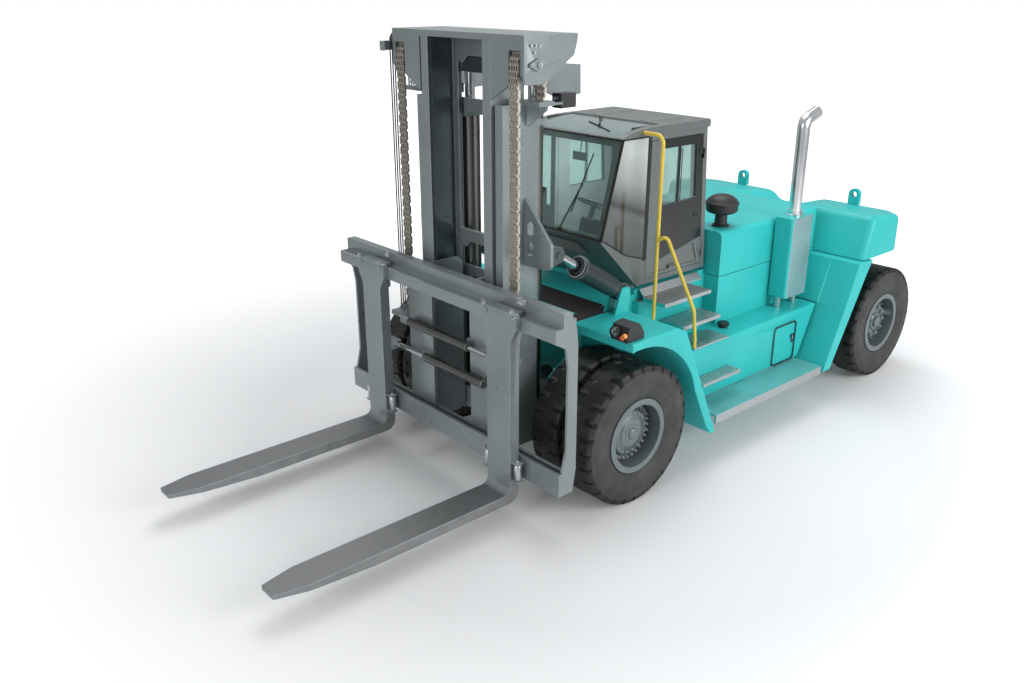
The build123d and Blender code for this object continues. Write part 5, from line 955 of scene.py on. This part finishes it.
def in_the_casting(middle):
    """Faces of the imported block, without the lifting eyes on its top."""
    return middle.z > 1.655 and not (0.77 < abs(middle.x) < 0.95 and middle.z > 2.10)


bm = copy_of("counterweight")
hidden = [face for face in bm.faces if in_the_casting(face.calc_center_median())]
bmesh.ops.delete(bm, geom=hidden, context="FACES")
show(bm, "counterweight_foot_and_eyes", "chassis", TEAL, ["counterweight"], face_out=False)
print("casting faces", len(weight.data.polygons))

# %% [markdown]
# The forks are forged steel. Their shanks keep some paint, but the blades are scraped bare by every
# load, and the cylinder rods that push them apart are chromed.

# %% Forks
ROD_LINES = {"fork_left": 1.515, "fork_right": 1.200}
for node, rod_z in ROD_LINES.items():
    dress(node, MAST + ["fork_steel", "chrome_rod"],
          rules=[(2, lambda c, n: c.z < 0.345),
                 (3, lambda c, n, z=rod_z: math.hypot(c.y + 1.030, c.z - z) < 0.030 and abs(c.x) < 0.85)],
          cuts=[((0, 0, 0.40), (0, 0, 1))], rounding=0.005, edge=1)
print("forks dressed")

# %% [markdown]
# The cab wears metallic grey up to the glass. Its front is glazed from corner to corner: the panes
# are bonded over slim posts, with a black band printed on their edges, so that no frame shows. Here the
# packed posts turn black, and large panes lie just outside them. Four planes split the walls along the
# lines where the glass begins and ends.

# %% Cab shell
SCREEN_FOOT_Z = 2.375
SILL = [(0.46, 2.345), (0.79, 2.145), (1.07, 2.060)]
B_POST_Y = 1.070
SILL_WAYS = [Vector((0, a[1] - b[1], b[0] - a[0])).normalized() for a, b in zip(SILL, SILL[1:])]


def behind_the_glass(c, n):
    if c.z > SCREEN_FOOT_Z and (n.y < -0.5 or (abs(c.x) < 0.69 and c.y < B_POST_Y)):
        return True
    above = all((c - Vector((0, *place))).dot(way) > 0 for place, way in zip(SILL, SILL_WAYS))
    return above and c.y < B_POST_Y


def cab_inside(c, n):
    return abs(c.x) < 0.655 and 0.44 < c.y < 2.08 and n.z > -0.9 and not n.y < -0.5


cab = dress("cab_shell", CAB + ["door_paint", "inside_trim"],
            rules=[(3, cab_inside), (2, behind_the_glass)],
            cuts=[((0, 0, SCREEN_FOOT_Z), (0, 0, 1)), ((0, B_POST_Y, 0), (0, 1, 0)),
                  ((0, *SILL[0]), SILL_WAYS[0]), ((0, *SILL[1]), SILL_WAYS[1])], rounding=0.003)
print("cab faces", len(cab.data.polygons))

# %% [markdown]
# The large front panes. The windscreen is one flat sheet, 5 mm thick, from the nose to the roof, and a
# quarter pane closes each side from it to the door post. A thin black seal runs round each of them.
# Below the windscreen, six louvres lie across the slanting underside of the cab's nose.

# %% Front panes, seals and nose louvres
SCREEN_SLOPE = 0.2797
REAR_PANE = [(-0.53, 2.028, 2.44), (0.53, 2.028, 2.44), (0.53, 1.952, 3.26), (-0.53, 1.952, 3.26)]
QUARTER_SEAL = [(0.412, 2.366), (0.684, 3.340), (1.062, 3.340), (1.062, 2.070), (0.79, 2.152), (0.46, 2.350)]
QUARTER_PANE = [(0.425, 2.372), (0.690, 3.333), (1.055, 3.333), (1.055, 2.080), (0.79, 2.160), (0.47, 2.354)]
DOWN_THE_NOSE = Vector((0, 0.711, -0.703))
OUT_OF_THE_NOSE = Vector((0, -0.703, -0.711))


def on_screen(z, out=0.0):
    """The y of the windscreen's plane at a height, moved out of it by so much."""
    return 0.408 + SCREEN_SLOPE * (z - 2.351) - out


def screen_corners(half, low, high, out):
    return [(x, on_screen(z, out), z) for x, z in ((-half, low), (half, low), (half, high), (-half, high))]


build("windscreen_and_rear_pane", "chassis", ["cab_pane"],
      [(plate, screen_corners(0.694, 2.380, 3.338, 0.002), (0, -0.005, 0)),
       (plate, REAR_PANE, (0, 0.005, 0))],
      replaced=["cab_glass"])
seals = [(border, screen_corners(0.699, 2.366, 3.342, 0.001), 0.016, (0, -0.008, 0))]
for side in LEFT_AND_RIGHT:
    seals.append((border, upright(side * 0.701, QUARTER_SEAL), 0.010, (side * 0.006, 0, 0)))
    seals.append((slab, (side * 0.700, 1.058, 2.05), (side * 0.708, 1.100, 3.335)))
build("glass_seals", "chassis", RUBBER, seals)
# The left quarter pane wears the painted sky reflection, the right one the plain painted reflection.
for side in LEFT_AND_RIGHT:
    build("quarter_sheet_" + SIDE_NAMES[side], "chassis", ["quarter_pane" if side > 0 else "cab_pane"],
          [(plate, upright(side * 0.7015, QUARTER_PANE), (side * 0.004, 0, 0))])
louvres = []
for k in range(6):
    foot = spot(-0.33, 0.408, 2.329) + DOWN_THE_NOSE * (0.085 + 0.034 * k)
    end = foot + DOWN_THE_NOSE * 0.024
    louvres.append((plate, [foot, end, end + OUT_OF_THE_NOSE * 0.012, foot + OUT_OF_THE_NOSE * 0.003],
                    (0.66, 0, 0)))
build("nose_louvres", "chassis", ["cab_edge"], louvres)
print("front panes made")

# %% [markdown]
# The roof is a folded grey plate at the back and two side rails in front, with a bent pane between
# them that lets the driver watch a raised load. A wiper sweeps that pane. The rear plate has two long
# pressed ribs and a lip all round. Profiles are drawn from the side and pulled across the cab.

# %% Roof, roof pane and wipers
ROOF_PLATE = [(1.270, 3.345), (2.058, 3.345), (2.068, 3.413), (2.040, 3.433), (1.270, 3.433)]
ROOF_RAIL = [(0.665, 3.343), (1.285, 3.343), (1.285, 3.433), (1.10, 3.431), (0.94, 3.420), (0.82, 3.403),
             (0.74, 3.384), (0.672, 3.358)]
ROOF_LIP = [(0.668, 3.340), (0.700, 3.340), (0.700, 3.362), (0.668, 3.352)]
PANE_LINE = [(0.686, 3.352), (0.74, 3.374), (0.82, 3.393), (0.94, 3.410), (1.10, 3.421), (1.29, 3.426)]
PANE_SECTION = PANE_LINE + [(y, z - 0.006) for y, z in reversed(PANE_LINE)]


def across(bm, profile, low, high):
    """Pulls an outline of (y, z) points across the truck between two x values."""
    plate(bm, upright(low, profile), (high - low, 0, 0))


roof = [(across, ROOF_PLATE, -0.698, 0.698)]
for side in LEFT_AND_RIGHT:
    roof.append((across, ROOF_RAIL, *sorted((side * 0.618, side * 0.698))))
    roof.append((slab, (side * 0.36 - 0.05, 1.36, 3.430), (side * 0.36 + 0.05, 1.98, 3.439)))
roof.append((across, ROOF_LIP, -0.62, 0.62))
build("roof_plate_and_rails", "chassis", CAB, roof, replaced=["cab_roof"], rounding=0.008, edge=1)
build("roof_pane", "chassis", ["roof_pane"], [(across, PANE_SECTION, -0.619, 0.619)])
build("roof_wiper_and_seal", "chassis", PLASTIC, [
    (slab, (-0.614, 0.90, 3.402), (-0.604, 1.28, 3.430)),
    (slab, (0.604, 0.90, 3.402), (0.614, 1.28, 3.430)),
    (slab, (-0.619, 1.276, 3.405), (0.619, 1.292, 3.437)),
    (rod, (-0.10, 1.20, 3.428), (-0.10, 1.20, 3.452), 0.022, 16),
    (rod, (-0.10, 1.20, 3.446), (0.20, 0.86, 3.414), 0.008, 8),
    (rod, (-0.06, 0.98, 3.421), (0.42, 0.78, 3.392), 0.007, 8),
    (rod, (0.18, 0.885, 3.412), (0.20, 0.86, 3.424), 0.014, 8)])
WIPER_BARS = [  # x, height and distance from the screen of both ends, radius, sides
    (0.12, 2.40, 0.010, 0.12, 2.40, 0.045, 0.020, 16), (0.12, 2.40, 0.030, 0.30, 2.86, 0.024, 0.008, 8),
    (0.22, 2.58, 0.014, 0.36, 3.18, 0.014, 0.007, 8), (0.30, 2.86, 0.012, 0.30, 2.86, 0.030, 0.011, 8),
]
build("windscreen_wiper", "chassis", PLASTIC,
      [(rod, (x, on_screen(z, out), z), (end_x, on_screen(end_z, end_out), end_z), radius, sides)
       for x, z, out, end_x, end_z, end_out, radius, sides in WIPER_BARS])
print("roof made")

# %% [markdown]
# The doors are black round their window, with a slanting lower edge, and grey below it and along the
# front. Two cuts split the faces for that.

# %% Doors
SLANT = Vector((0, -0.168, 0.74)).normalized()


def door_black(c, n):
    return c.y > 1.30 and (c - Vector((0, 1.33, 2.0))).dot(SLANT) > 0


for side in LEFT_AND_RIGHT:
    dress("cab_door_" + SIDE_NAMES[side], CAB + ["door_paint", "inside_trim"],
          rules=[(2, door_black), (3, lambda c, n, s=side: n.x * s < -0.5)],
          cuts=[((0, 1.30, 2.0), (0, 1, 0)), ((0, 1.33, 2.0), SLANT)], rounding=0.002, edge=1)
print("doors dressed")

# %% [markdown]
# Treads are perforated silver sheet on teal supports. The running board is teal with a bright edge.
# The muffler's outer face is a perforated heat shield, and its two feet are bare.


# %% Steps, boards and muffler
def faces_outward(c, n):
    return n.x * math.copysign(1, c.x) > 0.9


dress("cab_steps", TEAL + ["tread_sheet", "tread_metal"], rounding=0.002,
      rules=[(2, lambda c, n: n.z > 0.9), (3, lambda c, n: faces_outward(c, n) and abs(c.x) > 0.9)])
dress("running_boards", ["board_sheet", "tread_metal"], rules=[(1, faces_outward)], rounding=0.002)
dress("muffler_box", TEAL + ["shield_sheet", "tread_metal"], rounding=0.003,
      rules=[(2, lambda c, n: n.x > 0.9), (3, lambda c, n: c.z < 1.30 and abs(n.z) < 0.5)])
print("steps, boards and muffler dressed")

# %% [markdown]
# The lamps on the fenders share a black housing: a round headlamp in a deep bezel, and a red and amber
# indicator beside it. Work lights stand at the mast's head on a perforated bar and look forward. A
# lamp is a turned bezel, a bowl with a bulb shield in it, and a lens that bulges a little.

# %% Lamps on the truck
FORWARD = Vector((0, -1, 0.10)).normalized()
HEADLAMP_X = 1.450
SIGNAL_PROFILE = [(0.0, 0.0), (0.0, 0.026), (0.016, 0.025), (0.030, 0.018), (0.036, 0.0)]
LENS_PROFILE = [(0.014, 0.0), (0.018, 0.0), (0.012, 0.044), (0.008, 0.044)]
SQUARE = ((-1, -1), (1, -1), (1, 1), (-1, 1))
WORK_LIGHT = (0.80, -0.334, 3.806)
WORK_LENS = [(0.0, 0.0), (0.0, 0.018), (0.005, 0.017), (0.009, 0.010), (0.010, 0.0)]


def add_lamp(bm, middle, way, radius, depth):
    """Bezel, bright bowl and shield of a round lamp. Finishes: 0 bezel, 1 bright metal."""
    turned(bm, [(0.0, radius), (depth, radius), (depth, radius * 0.86), (depth * 0.5, radius * 0.80),
                (0.0, radius * 0.80)], middle, way, 32)
    bezel = set(bm.faces)
    turned(bm, [(depth * 0.18, 0.0), (depth * 0.18, radius * 0.30), (depth * 0.45, radius * 0.80),
                (depth * 0.30, radius * 0.82), (0.0, radius * 0.30), (0.0, 0.0)], middle, way, 32)
    for face in set(bm.faces) - bezel:
        face.material_index = 1


def add_signal(bm, x, z, number):
    """A lens dome, whose neighbourhood takes the finish of that number."""
    turned(bm, SIGNAL_PROFILE, (x, -0.146, z), FORWARD, 24)
    for face in bm.faces:
        if (face.calc_center_median() - spot(x, -0.160, z)).length < 0.034:
            face.material_index = number


dress("fender_lamps", ["lamp_housing"])
bowls, lenses, signals, bezels, work_lenses = [], [], [], [], []
for side in LEFT_AND_RIGHT:
    x = side * HEADLAMP_X
    bowls.append((add_lamp, (x, -0.146, 1.762), FORWARD, 0.056, 0.030))
    bowls.append((rod, (x, -0.150, 1.762), (x, -0.166, 1.764), 0.014, 12))
    lenses.append((turned, LENS_PROFILE, (x, -0.152, 1.762), FORWARD, 32))
    signals.append((add_signal, side * 1.536, 1.724, 0))
    signals.append((add_signal, side * 1.566, 1.748, 1))
    x, y, z = side * WORK_LIGHT[0], *WORK_LIGHT[1:]
    for turn in range(3):
        half = 0.050 - 0.008 * turn
        square = [(x + dx * half, y - 0.004 * turn, z + dz * half) for dx, dz in SQUARE]
        bezels.append((border, square, 0.004, (0, -0.006, 0)))
    for dx, dz in SQUARE:
        work_lenses.append((turned, WORK_LENS, (x + 0.022 * dx, y, z + 0.022 * dz), (0, -1, 0), 16))
build("headlamp_bowls", BODY_OF["fender_lamps"], ["black_plastic", "mirror_metal"], bowls)
build("headlamp_lenses", BODY_OF["fender_lamps"], ["cab_pane"], lenses)
build("turn_signals", BODY_OF["fender_lamps"], ["red_lens", "amber_lens"], signals)
dress("work_lights", ["lamp_housing", "lamp_bar_sheet"], rules=[(1, lambda c, n: c.z < 3.752 and n.y < -0.5)])
build("work_light_bezels", BODY_OF["work_lights"], PLASTIC, bezels)
build("work_light_lenses", BODY_OF["work_lights"], ["lamp_lens"], work_lenses)
print("lamps made")

# %% [markdown]
# Small fittings make the mast read as a machine. The side plates of its head carry a pin with a
# teardrop keeper and four bolts, guard plates hang behind the rails, and a bolted bracket holds the hose
# pulley. Light bolts ring the gland of each tilt cylinder. A crossbar in the mast's painted shade joins
# the inner rails near the top.


# %% Fittings of the mast
def teardrop(bm, middle, way, radius, reach, thickness):
    """A keeper plate: a round end about middle and a point that reaches forward along -Y."""
    outline = []
    for k in range(15):
        angle = math.radians(-120 + 240 * k / 14)
        outline.append(middle + Vector((0, radius * math.cos(angle), radius * math.sin(angle))))
    outline.append(middle + Vector((0, -reach, 0.25 * radius)))
    outline.append(middle + Vector((0, -reach, -0.25 * radius)))
    plate(bm, outline, way * thickness)


def add_bolt(bm, middle, way, radius):
    """A washer, a hexagon head and the rounded end of its screw."""
    middle, way = at(middle), Vector(way)
    rod(bm, middle, middle + way * radius * 0.3, radius * 1.5, 14)
    rod(bm, middle, middle + way * radius * 1.1, radius, 6, radius * 0.93)
    rod(bm, middle, middle + way * radius * 1.35, radius * 0.45, 8)


PLATE_FACE_X = 0.960
PIN_Y, PIN_Z = -0.700, 4.136
PLATE_BOLTS = ((-0.785, 4.290), (-0.735, 4.292), (-0.745, 4.235), (-0.690, 4.288))
GUARD = [(-0.40, 4.128), (0.150, 4.080), (0.160, 3.815), (-0.150, 3.800), (-0.40, 3.90)]
keepers, bolts, guards = [], [], []
for side in LEFT_AND_RIGHT:
    way = Vector((side, 0, 0))
    bolts += [(add_bolt, (side * 0.9605, y, z), way, 0.0075) for y, z in PLATE_BOLTS]
    bolts.append((add_bolt, (side * 0.985, PIN_Y, PIN_Z), way, 0.011))
    bolts.append((add_bolt, (side * 0.970, -0.782, PIN_Z), way, 0.007))
    keepers.append((teardrop, spot(side * PLATE_FACE_X, PIN_Y, PIN_Z), way, 0.052, 0.105, 0.010))
    keepers.append((rod, (side * PLATE_FACE_X, PIN_Y, PIN_Z), (side * 0.985, PIN_Y, PIN_Z), 0.030, 24))
    guards.append((plate, upright(side * 0.600, GUARD), (side * 0.012, 0, 0)))
guards.append((slab, (-1.052, -0.935, 4.165), (-0.975, -0.925, 4.255)))
guards.append((slab, (-1.052, -0.935, 4.165), (-1.044, -0.800, 4.255)))
build("head_pin_keepers", "inner_stage", MAST, keepers, rounding=0.002, edge=1)
build("head_bolts", "inner_stage", BOLTS, bolts)
build("head_guards", "inner_stage", MAST, guards, rounding=0.003, edge=1)
build("pulley_bracket_bolts", "inner_stage", BOLTS, [
    (add_bolt, (-1.052, -0.870, 4.210), (-1, 0, 0), 0.016),
    (add_bolt, (-1.010, -0.935, 4.210), (0, -1, 0), 0.012)])
# The crossbar wears the mast's painted shade.
build("inner_crossbar", "inner_stage", ["mast_shade_paint", "mast_edge"], [
    (slab, (-0.392, -0.455, 3.985), (0.392, -0.440, 4.175)),
    (slab, (-0.308, -0.440, 3.995), (-0.292, -0.400, 4.165)),
    (slab, (0.292, -0.440, 3.995), (0.308, -0.400, 4.165))], rounding=0.004, edge=1)

TILT_PIN = spot(0, 0.500, 1.880)
TILT_WAY = Vector((0, -0.927, 0.562)).normalized()
GLAND = [(0.0, 0.060), (0.0, 0.116), (0.006, 0.120), (0.010, 0.116), (0.010, 0.084), (0.024, 0.076),
         (0.026, 0.060)]
GLAND_BOLTS = 26
SIDEWAYS = Vector((1, 0, 0))
for side in LEFT_AND_RIGHT:
    face = TILT_PIN + SIDEWAYS * side * 0.900 + TILT_WAY * 0.7205
    steps = []
    for k in range(GLAND_BOLTS):
        angle = 2 * math.pi * k / GLAND_BOLTS
        out = SIDEWAYS * math.cos(angle) + TILT_WAY.cross(SIDEWAYS) * math.sin(angle)
        place = face + TILT_WAY * 0.010 + out * 0.103
        steps.append((rod, place, place + TILT_WAY * 0.012, 0.0100, 8, 0.0085))
    body = BODY_OF["tilt_cylinders"]
    build("tilt_gland_ring_" + SIDE_NAMES[side], body, ["cylinder_paint"], [(turned, GLAND, face, TILT_WAY)])
    build("tilt_gland_bolts_" + SIDE_NAMES[side], body, ["nut_finish"], steps)
print("mast fittings made")

# %% [markdown]
# The forks hang on the carriage's upper bar by hooks with two pins, and a bright roller at the hook's
# outer end lets them slide sideways. At the lower beam, upright rollers in small brackets guide the
# shanks. They ride with the forks. The rollers are turned with a waist, as bright steel ones are.

# %% Fork rollers and pins
FORK_X = 1.0115
PIN_WASHER = [(0.0, 0.0), (0.0, 0.030), (0.006, 0.030), (0.008, 0.024), (0.008, 0.0)]
HOOK_ROLLER = [(0.0, 0.0), (0.0, 0.026), (0.006, 0.032), (0.050, 0.032), (0.056, 0.026), (0.056, 0.0)]
SHANK_ROLLER = [(0.0, 0.0), (0.0, 0.030), (0.008, 0.036), (0.150, 0.036), (0.158, 0.030), (0.158, 0.0)]
for side in LEFT_AND_RIGHT:
    fork_x = side * FORK_X
    body = BODY_OF["fork_" + SIDE_NAMES[side]]
    rollers = [(turned, HOOK_ROLLER, (fork_x + 0.200, -1.130, 2.214), (1, 0, 0), 28)]
    brackets = [(slab, (fork_x + 0.190, -1.165, 2.190), (fork_x + 0.200, -1.095, 2.246))]
    for out in (-1, 1):
        x = fork_x + out * 0.190
        brackets.append((turned, PIN_WASHER, (x, -1.2125, 2.130), (0, -1, 0), 24))
        rollers.append((add_bolt, (x, -1.2205, 2.130), (0, -1, 0), 0.012))
        x = fork_x + out * 0.210
        rollers.append((turned, SHANK_ROLLER, (x, -1.160, 0.482), (0, 0, 1), 28))
        rollers.append((add_bolt, (x, -1.160, 0.664), (0, 0, 1), 0.012))
        low_x, high_x = sorted((x + out * 0.036, fork_x + out * 0.156))
        for z in (0.462, 0.644):
            brackets.append((slab, (low_x, -1.196, z), (high_x, -1.124, z + 0.020)))
    build("fork_rollers_" + SIDE_NAMES[side], body, BOLTS, rollers)
    build("fork_roller_brackets_" + SIDE_NAMES[side], body, MAST, brackets, rounding=0.002, edge=1,
          face_out=False)
print("fork rollers made")

# %% [markdown]
# The body's small parts: the hatch has a dark rubber trim on its edge and a latch, the tank a black
# filler cap with ribs, the stack a clamp round its foot, and the intake a mushroom pre-cleaner whose
# dome sheds rain. A folded bright plate closes the side of the platform under the cab.

# %% Fittings of the body
CAP = [(0.0, 0.0), (0.0, 0.050), (0.022, 0.050), (0.024, 0.064), (0.056, 0.064), (0.062, 0.056), (0.062, 0.0)]
CLEANER = [(0.0, 0.0), (0.0, 0.098), (0.012, 0.098), (0.016, 0.072), (0.128, 0.068), (0.140, 0.110),
           (0.158, 0.160), (0.168, 0.172), (0.180, 0.178), (0.246, 0.182), (0.252, 0.190), (0.270, 0.190),
           (0.276, 0.180), (0.306, 0.160), (0.336, 0.118), (0.354, 0.066), (0.360, 0.0)]
CLAMP = [(0.0, 0.073), (0.0, 0.080), (0.028, 0.080), (0.028, 0.073)]
SIDE_PLATE = [(0.703, 1.748), (0.715, 1.748), (0.775, 1.682), (0.775, 1.672), (0.765, 1.672), (0.703, 1.738)]
UP = (0, 0, 1)


def rounded(x, low, high, radius, steps=6):
    """A rectangle at x from one (y, z) corner to the other, with round corners."""
    points = []
    turns = ((high[0], high[1], -1, -1), (low[0], high[1], 1, -1), (low[0], low[1], 1, 1),
             (high[0], low[1], -1, 1))
    for number, (y, z, inward_y, inward_z) in enumerate(turns):
        for k in range(steps + 1):
            angle = math.radians(90 * (number + k / steps))
            points.append((x, y + radius * (inward_y + math.cos(angle)),
                           z + radius * (inward_z + math.sin(angle))))
    return points


body = BODY_OF["tank_hatch"]
build("hatch_edge_trim", body, RUBBER,
      [(border, rounded(1.2615, (2.828, 0.521), (3.289, 1.014), 0.054), 0.017, (0.004, 0, 0))])
build("hatch_latch", body, PLASTIC,
      [(border, rounded(1.2615, (3.198, 0.748), (3.256, 0.850), 0.012), 0.010, (0.006, 0, 0)),
       (plate, rounded(1.2615, (3.200, 0.750), (3.254, 0.848), 0.010), (0.002, 0, 0))])
build("hatch_latch_paddle", body, BOLTS,
      [(plate, rounded(1.2630, (3.216, 0.770), (3.240, 0.830), 0.008), (0.005, 0, 0))], rounding=0.002)
caps = []
for side in LEFT_AND_RIGHT:
    place = spot(side * 1.014, 2.149, 1.130)
    caps.append((turned, CAP, place, UP, 32))
    for k in range(12):
        angle = 2 * math.pi * k / 12
        foot = place + Vector((math.cos(angle) * 0.063, math.sin(angle) * 0.063, 0.026))
        caps.append((rod, foot, foot + Vector((0, 0, 0.028)), 0.005, 6))
build("filler_caps", "chassis", PLASTIC, caps)
build("mushroom_precleaner", BODY_OF["air_precleaner"], PLASTIC,
      [(turned, CLEANER, (0.675, 2.415, 2.205), UP, 56)], replaced=["air_precleaner"])
build("stack_clamp", "chassis", BOLTS, [
    (turned, CLAMP, (1.010, 3.380, 2.262), UP, 36), (slab, (1.080, 3.365, 2.264), (1.112, 3.395, 2.288)),
    (rod, (1.098, 3.350, 2.276), (1.098, 3.412, 2.276), 0.006, 8)])
build("platform_side_plates", "chassis", ["tread_metal"],
      [(plate, [(side * x, 1.02, z) for x, z in SIDE_PLATE], (0, 0.98, 0)) for side in LEFT_AND_RIGHT],
      rounding=0.002)
print("body fittings made")

# %% [markdown]
# Each door has a handle and a round lock on a turned rose, and a thin strip beside its window. Two
# small tail lamps stand at the cab's upper rear corners. Inside, a mirror hangs from the roof, and an
# armrest with a stick and a screen on its stand flank the seat.

# %% Fittings of the cab
LOCK = [(0.0, 0.0), (0.0, 0.026), (0.006, 0.026), (0.010, 0.020), (0.010, 0.010), (0.004, 0.008),
        (0.004, 0.0)]
TAIL_LAMP = [(0.0, 0.0), (0.0, 0.030), (0.030, 0.034), (0.044, 0.034), (0.050, 0.028), (0.050, 0.0)]
KNOB = [(0.0, 0.0), (0.0, 0.018), (0.03, 0.026), (0.06, 0.018), (0.064, 0.0)]
for side in LEFT_AND_RIGHT:
    skin, grip, strip = side * 0.700, side * 0.716, side * 0.702
    build("door_handle_and_lock_" + SIDE_NAMES[side], BODY_OF["cab_door_" + SIDE_NAMES[side]], PLASTIC, [
        (turned, LOCK, (side * 0.7005, 1.900, 2.418), (side, 0, 0), 28),
        (rod, (grip, 1.490, 1.912), (grip, 1.600, 1.912), 0.008, 12),
        (rod, (skin, 1.490, 1.912), (grip, 1.490, 1.912), 0.008, 12),
        (rod, (skin, 1.600, 1.912), (grip, 1.600, 1.912), 0.008, 12),
        (rod, (strip, 1.610, 2.620), (strip, 1.610, 3.170), 0.005, 8)])
build("rear_roof_lamps", "chassis", PLASTIC,
      [(turned, TAIL_LAMP, (side * 0.640, 2.040, 3.392), (0, 1, 0), 28) for side in LEFT_AND_RIGHT])
build("inside_mirror", "chassis", PLASTIC, [
    (slab, (-0.05, 0.735, 3.055), (0.15, 0.750, 3.145)),
    (rod, (0.05, 0.750, 3.140), (0.05, 0.780, 3.330), 0.007, 8)], rounding=0.01)
build("armrest_console_and_screen", "chassis", PLASTIC, [
    (slab, (0.33, 0.95, 2.10), (0.52, 1.75, 2.42)), (slab, (0.35, 0.92, 2.42), (0.50, 1.20, 2.50)),
    (rod, (0.42, 1.02, 2.48), (0.42, 0.98, 2.62), 0.012, 12),
    (turned, KNOB, (0.42, 0.98, 2.61), (0, -0.2, 1), 20),
    (slab, (-0.50, 0.52, 2.12), (-0.25, 0.62, 2.56)),
    (slab, (-0.52, 0.50, 2.56), (-0.22, 0.54, 2.76))], rounding=0.012, face_out=False)
print("cab fittings made")

# %% [markdown]
# The driver's seat is the one soft piece. Its cushions are foam in cloth: they crown where nobody
# sits, and their sides pull in. Sewing patterns could be drawn, but pressure gives the same swell for
# less work. A rounded block is remeshed, inflated a little as cloth with its movement capped, and
# smoothed once. The hard shell behind the cushions stays black plastic.

# %% Seat
CUSHIONS = [  # name, middle, half size, lean
    ("seat_cushion", (0, 1.545, 2.283), (0.205, 0.200, 0.042), 0.0),
    ("seat_backrest", (0, 1.792, 2.655), (0.195, 0.040, 0.275), -7.5),
]
SWELL_CAP = 0.014
CLOTH_FRAMES = 20


def settle(piece):
    """Replaces a piece's mesh by what its modifiers make of it."""
    settled = bpy.data.meshes.new_from_object(piece.evaluated_get(bpy.context.evaluated_depsgraph_get()))
    piece.modifiers.clear()
    piece.data = settled


for name, middle, half, lean in CUSHIONS:
    bm = bmesh.new()
    bmesh.ops.create_cube(bm, size=2.0)
    bmesh.ops.scale(bm, verts=bm.verts, vec=half)
    bmesh.ops.bevel(bm, geom=bm.edges[:], offset=0.030, segments=3, profile=0.5, affect="EDGES")
    bmesh.ops.rotate(bm, verts=bm.verts, cent=(0, 0, 0), matrix=Matrix.Rotation(math.radians(lean), 3, "X"))
    bmesh.ops.translate(bm, verts=bm.verts, vec=spot(*middle))
    cushion = show(bm, name, "", ["seat_cloth"], sharp=80, face_out=False)
    remesh = cushion.modifiers.new("even_grid", "REMESH")
    remesh.mode = "VOXEL"
    remesh.voxel_size = 0.010
    bpy.context.view_layer.update()
    settle(cushion)
    flat = [vert.co.copy() for vert in cushion.data.vertices]
    cloth = cushion.modifiers.new("swell", "CLOTH")
    cloth.settings.use_pressure = True
    cloth.settings.uniform_pressure_force = 4
    cloth.settings.effector_weights.gravity = 0
    cloth.point_cache.frame_start = 1
    cloth.point_cache.frame_end = CLOTH_FRAMES
    for number in range(1, CLOTH_FRAMES + 1):
        scene.frame_set(number)
    settle(cushion)
    scene.frame_set(1)
    moved = []
    for vert, start in zip(cushion.data.vertices, flat):
        step = vert.co - start
        if step.length > SWELL_CAP:
            vert.co = start + step * (SWELL_CAP / step.length)
        moved.append((vert.co - start).length)
    bm = bmesh.new()
    bm.from_mesh(cushion.data)
    bmesh.ops.smooth_vert(bm, verts=bm.verts, factor=0.5, use_axis_x=True, use_axis_y=True, use_axis_z=True)
    bmesh.ops.recalc_face_normals(bm, faces=bm.faces)
    bm.to_mesh(cushion.data)
    bm.free()
    cushion.data.shade_smooth()
    cushion.data.materials.clear()
    cushion.data.materials.append(finish["seat_cloth"])
    finer = cushion.modifiers.new("finer", "SUBSURF")
    finer.levels = 1
    finer.render_levels = 1
    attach(cushion, "chassis")
    print(name, "swelled up to", round(max(moved) * 1000, 1), "mm, faces", len(cushion.data.polygons))
SHELL_BACK = [(-0.215, -0.300), (0.215, -0.300), (0.200, 0.300), (-0.200, 0.300)]
HEADREST = [(-0.12, 0.27), (0.12, 0.27), (0.10, 0.318), (-0.10, 0.318)]
shell = [(slab, (-0.225, 1.330, 2.215), (0.225, 1.780, 2.240)),
         (slab, (-0.16, 1.400, 1.802), (0.16, 1.740, 1.870))]
for k in range(5):
    z = 1.880 + 0.066 * k
    shell.append((slab, (-0.150, 1.420, z), (0.150, 1.720, z + 0.050)))
shell.append((plate, [(x, 1.840 + (z + 0.3) * 0.125, 2.655 + z) for x, z in SHELL_BACK], (0, 0.020, 0)))
shell.append((plate, [(x, 1.905 + (z - 0.30) * 0.1, 2.655 + z) for x, z in HEADREST], (0, 0.012, 0)))
build("seat_shell_and_bellows", "chassis", PLASTIC, shell, replaced=["driver_seat"], rounding=0.008)
print("seat made")

# %% Measure the dressed box
low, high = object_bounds()
print("dressed box", [round(v, 3) for v in high - low])
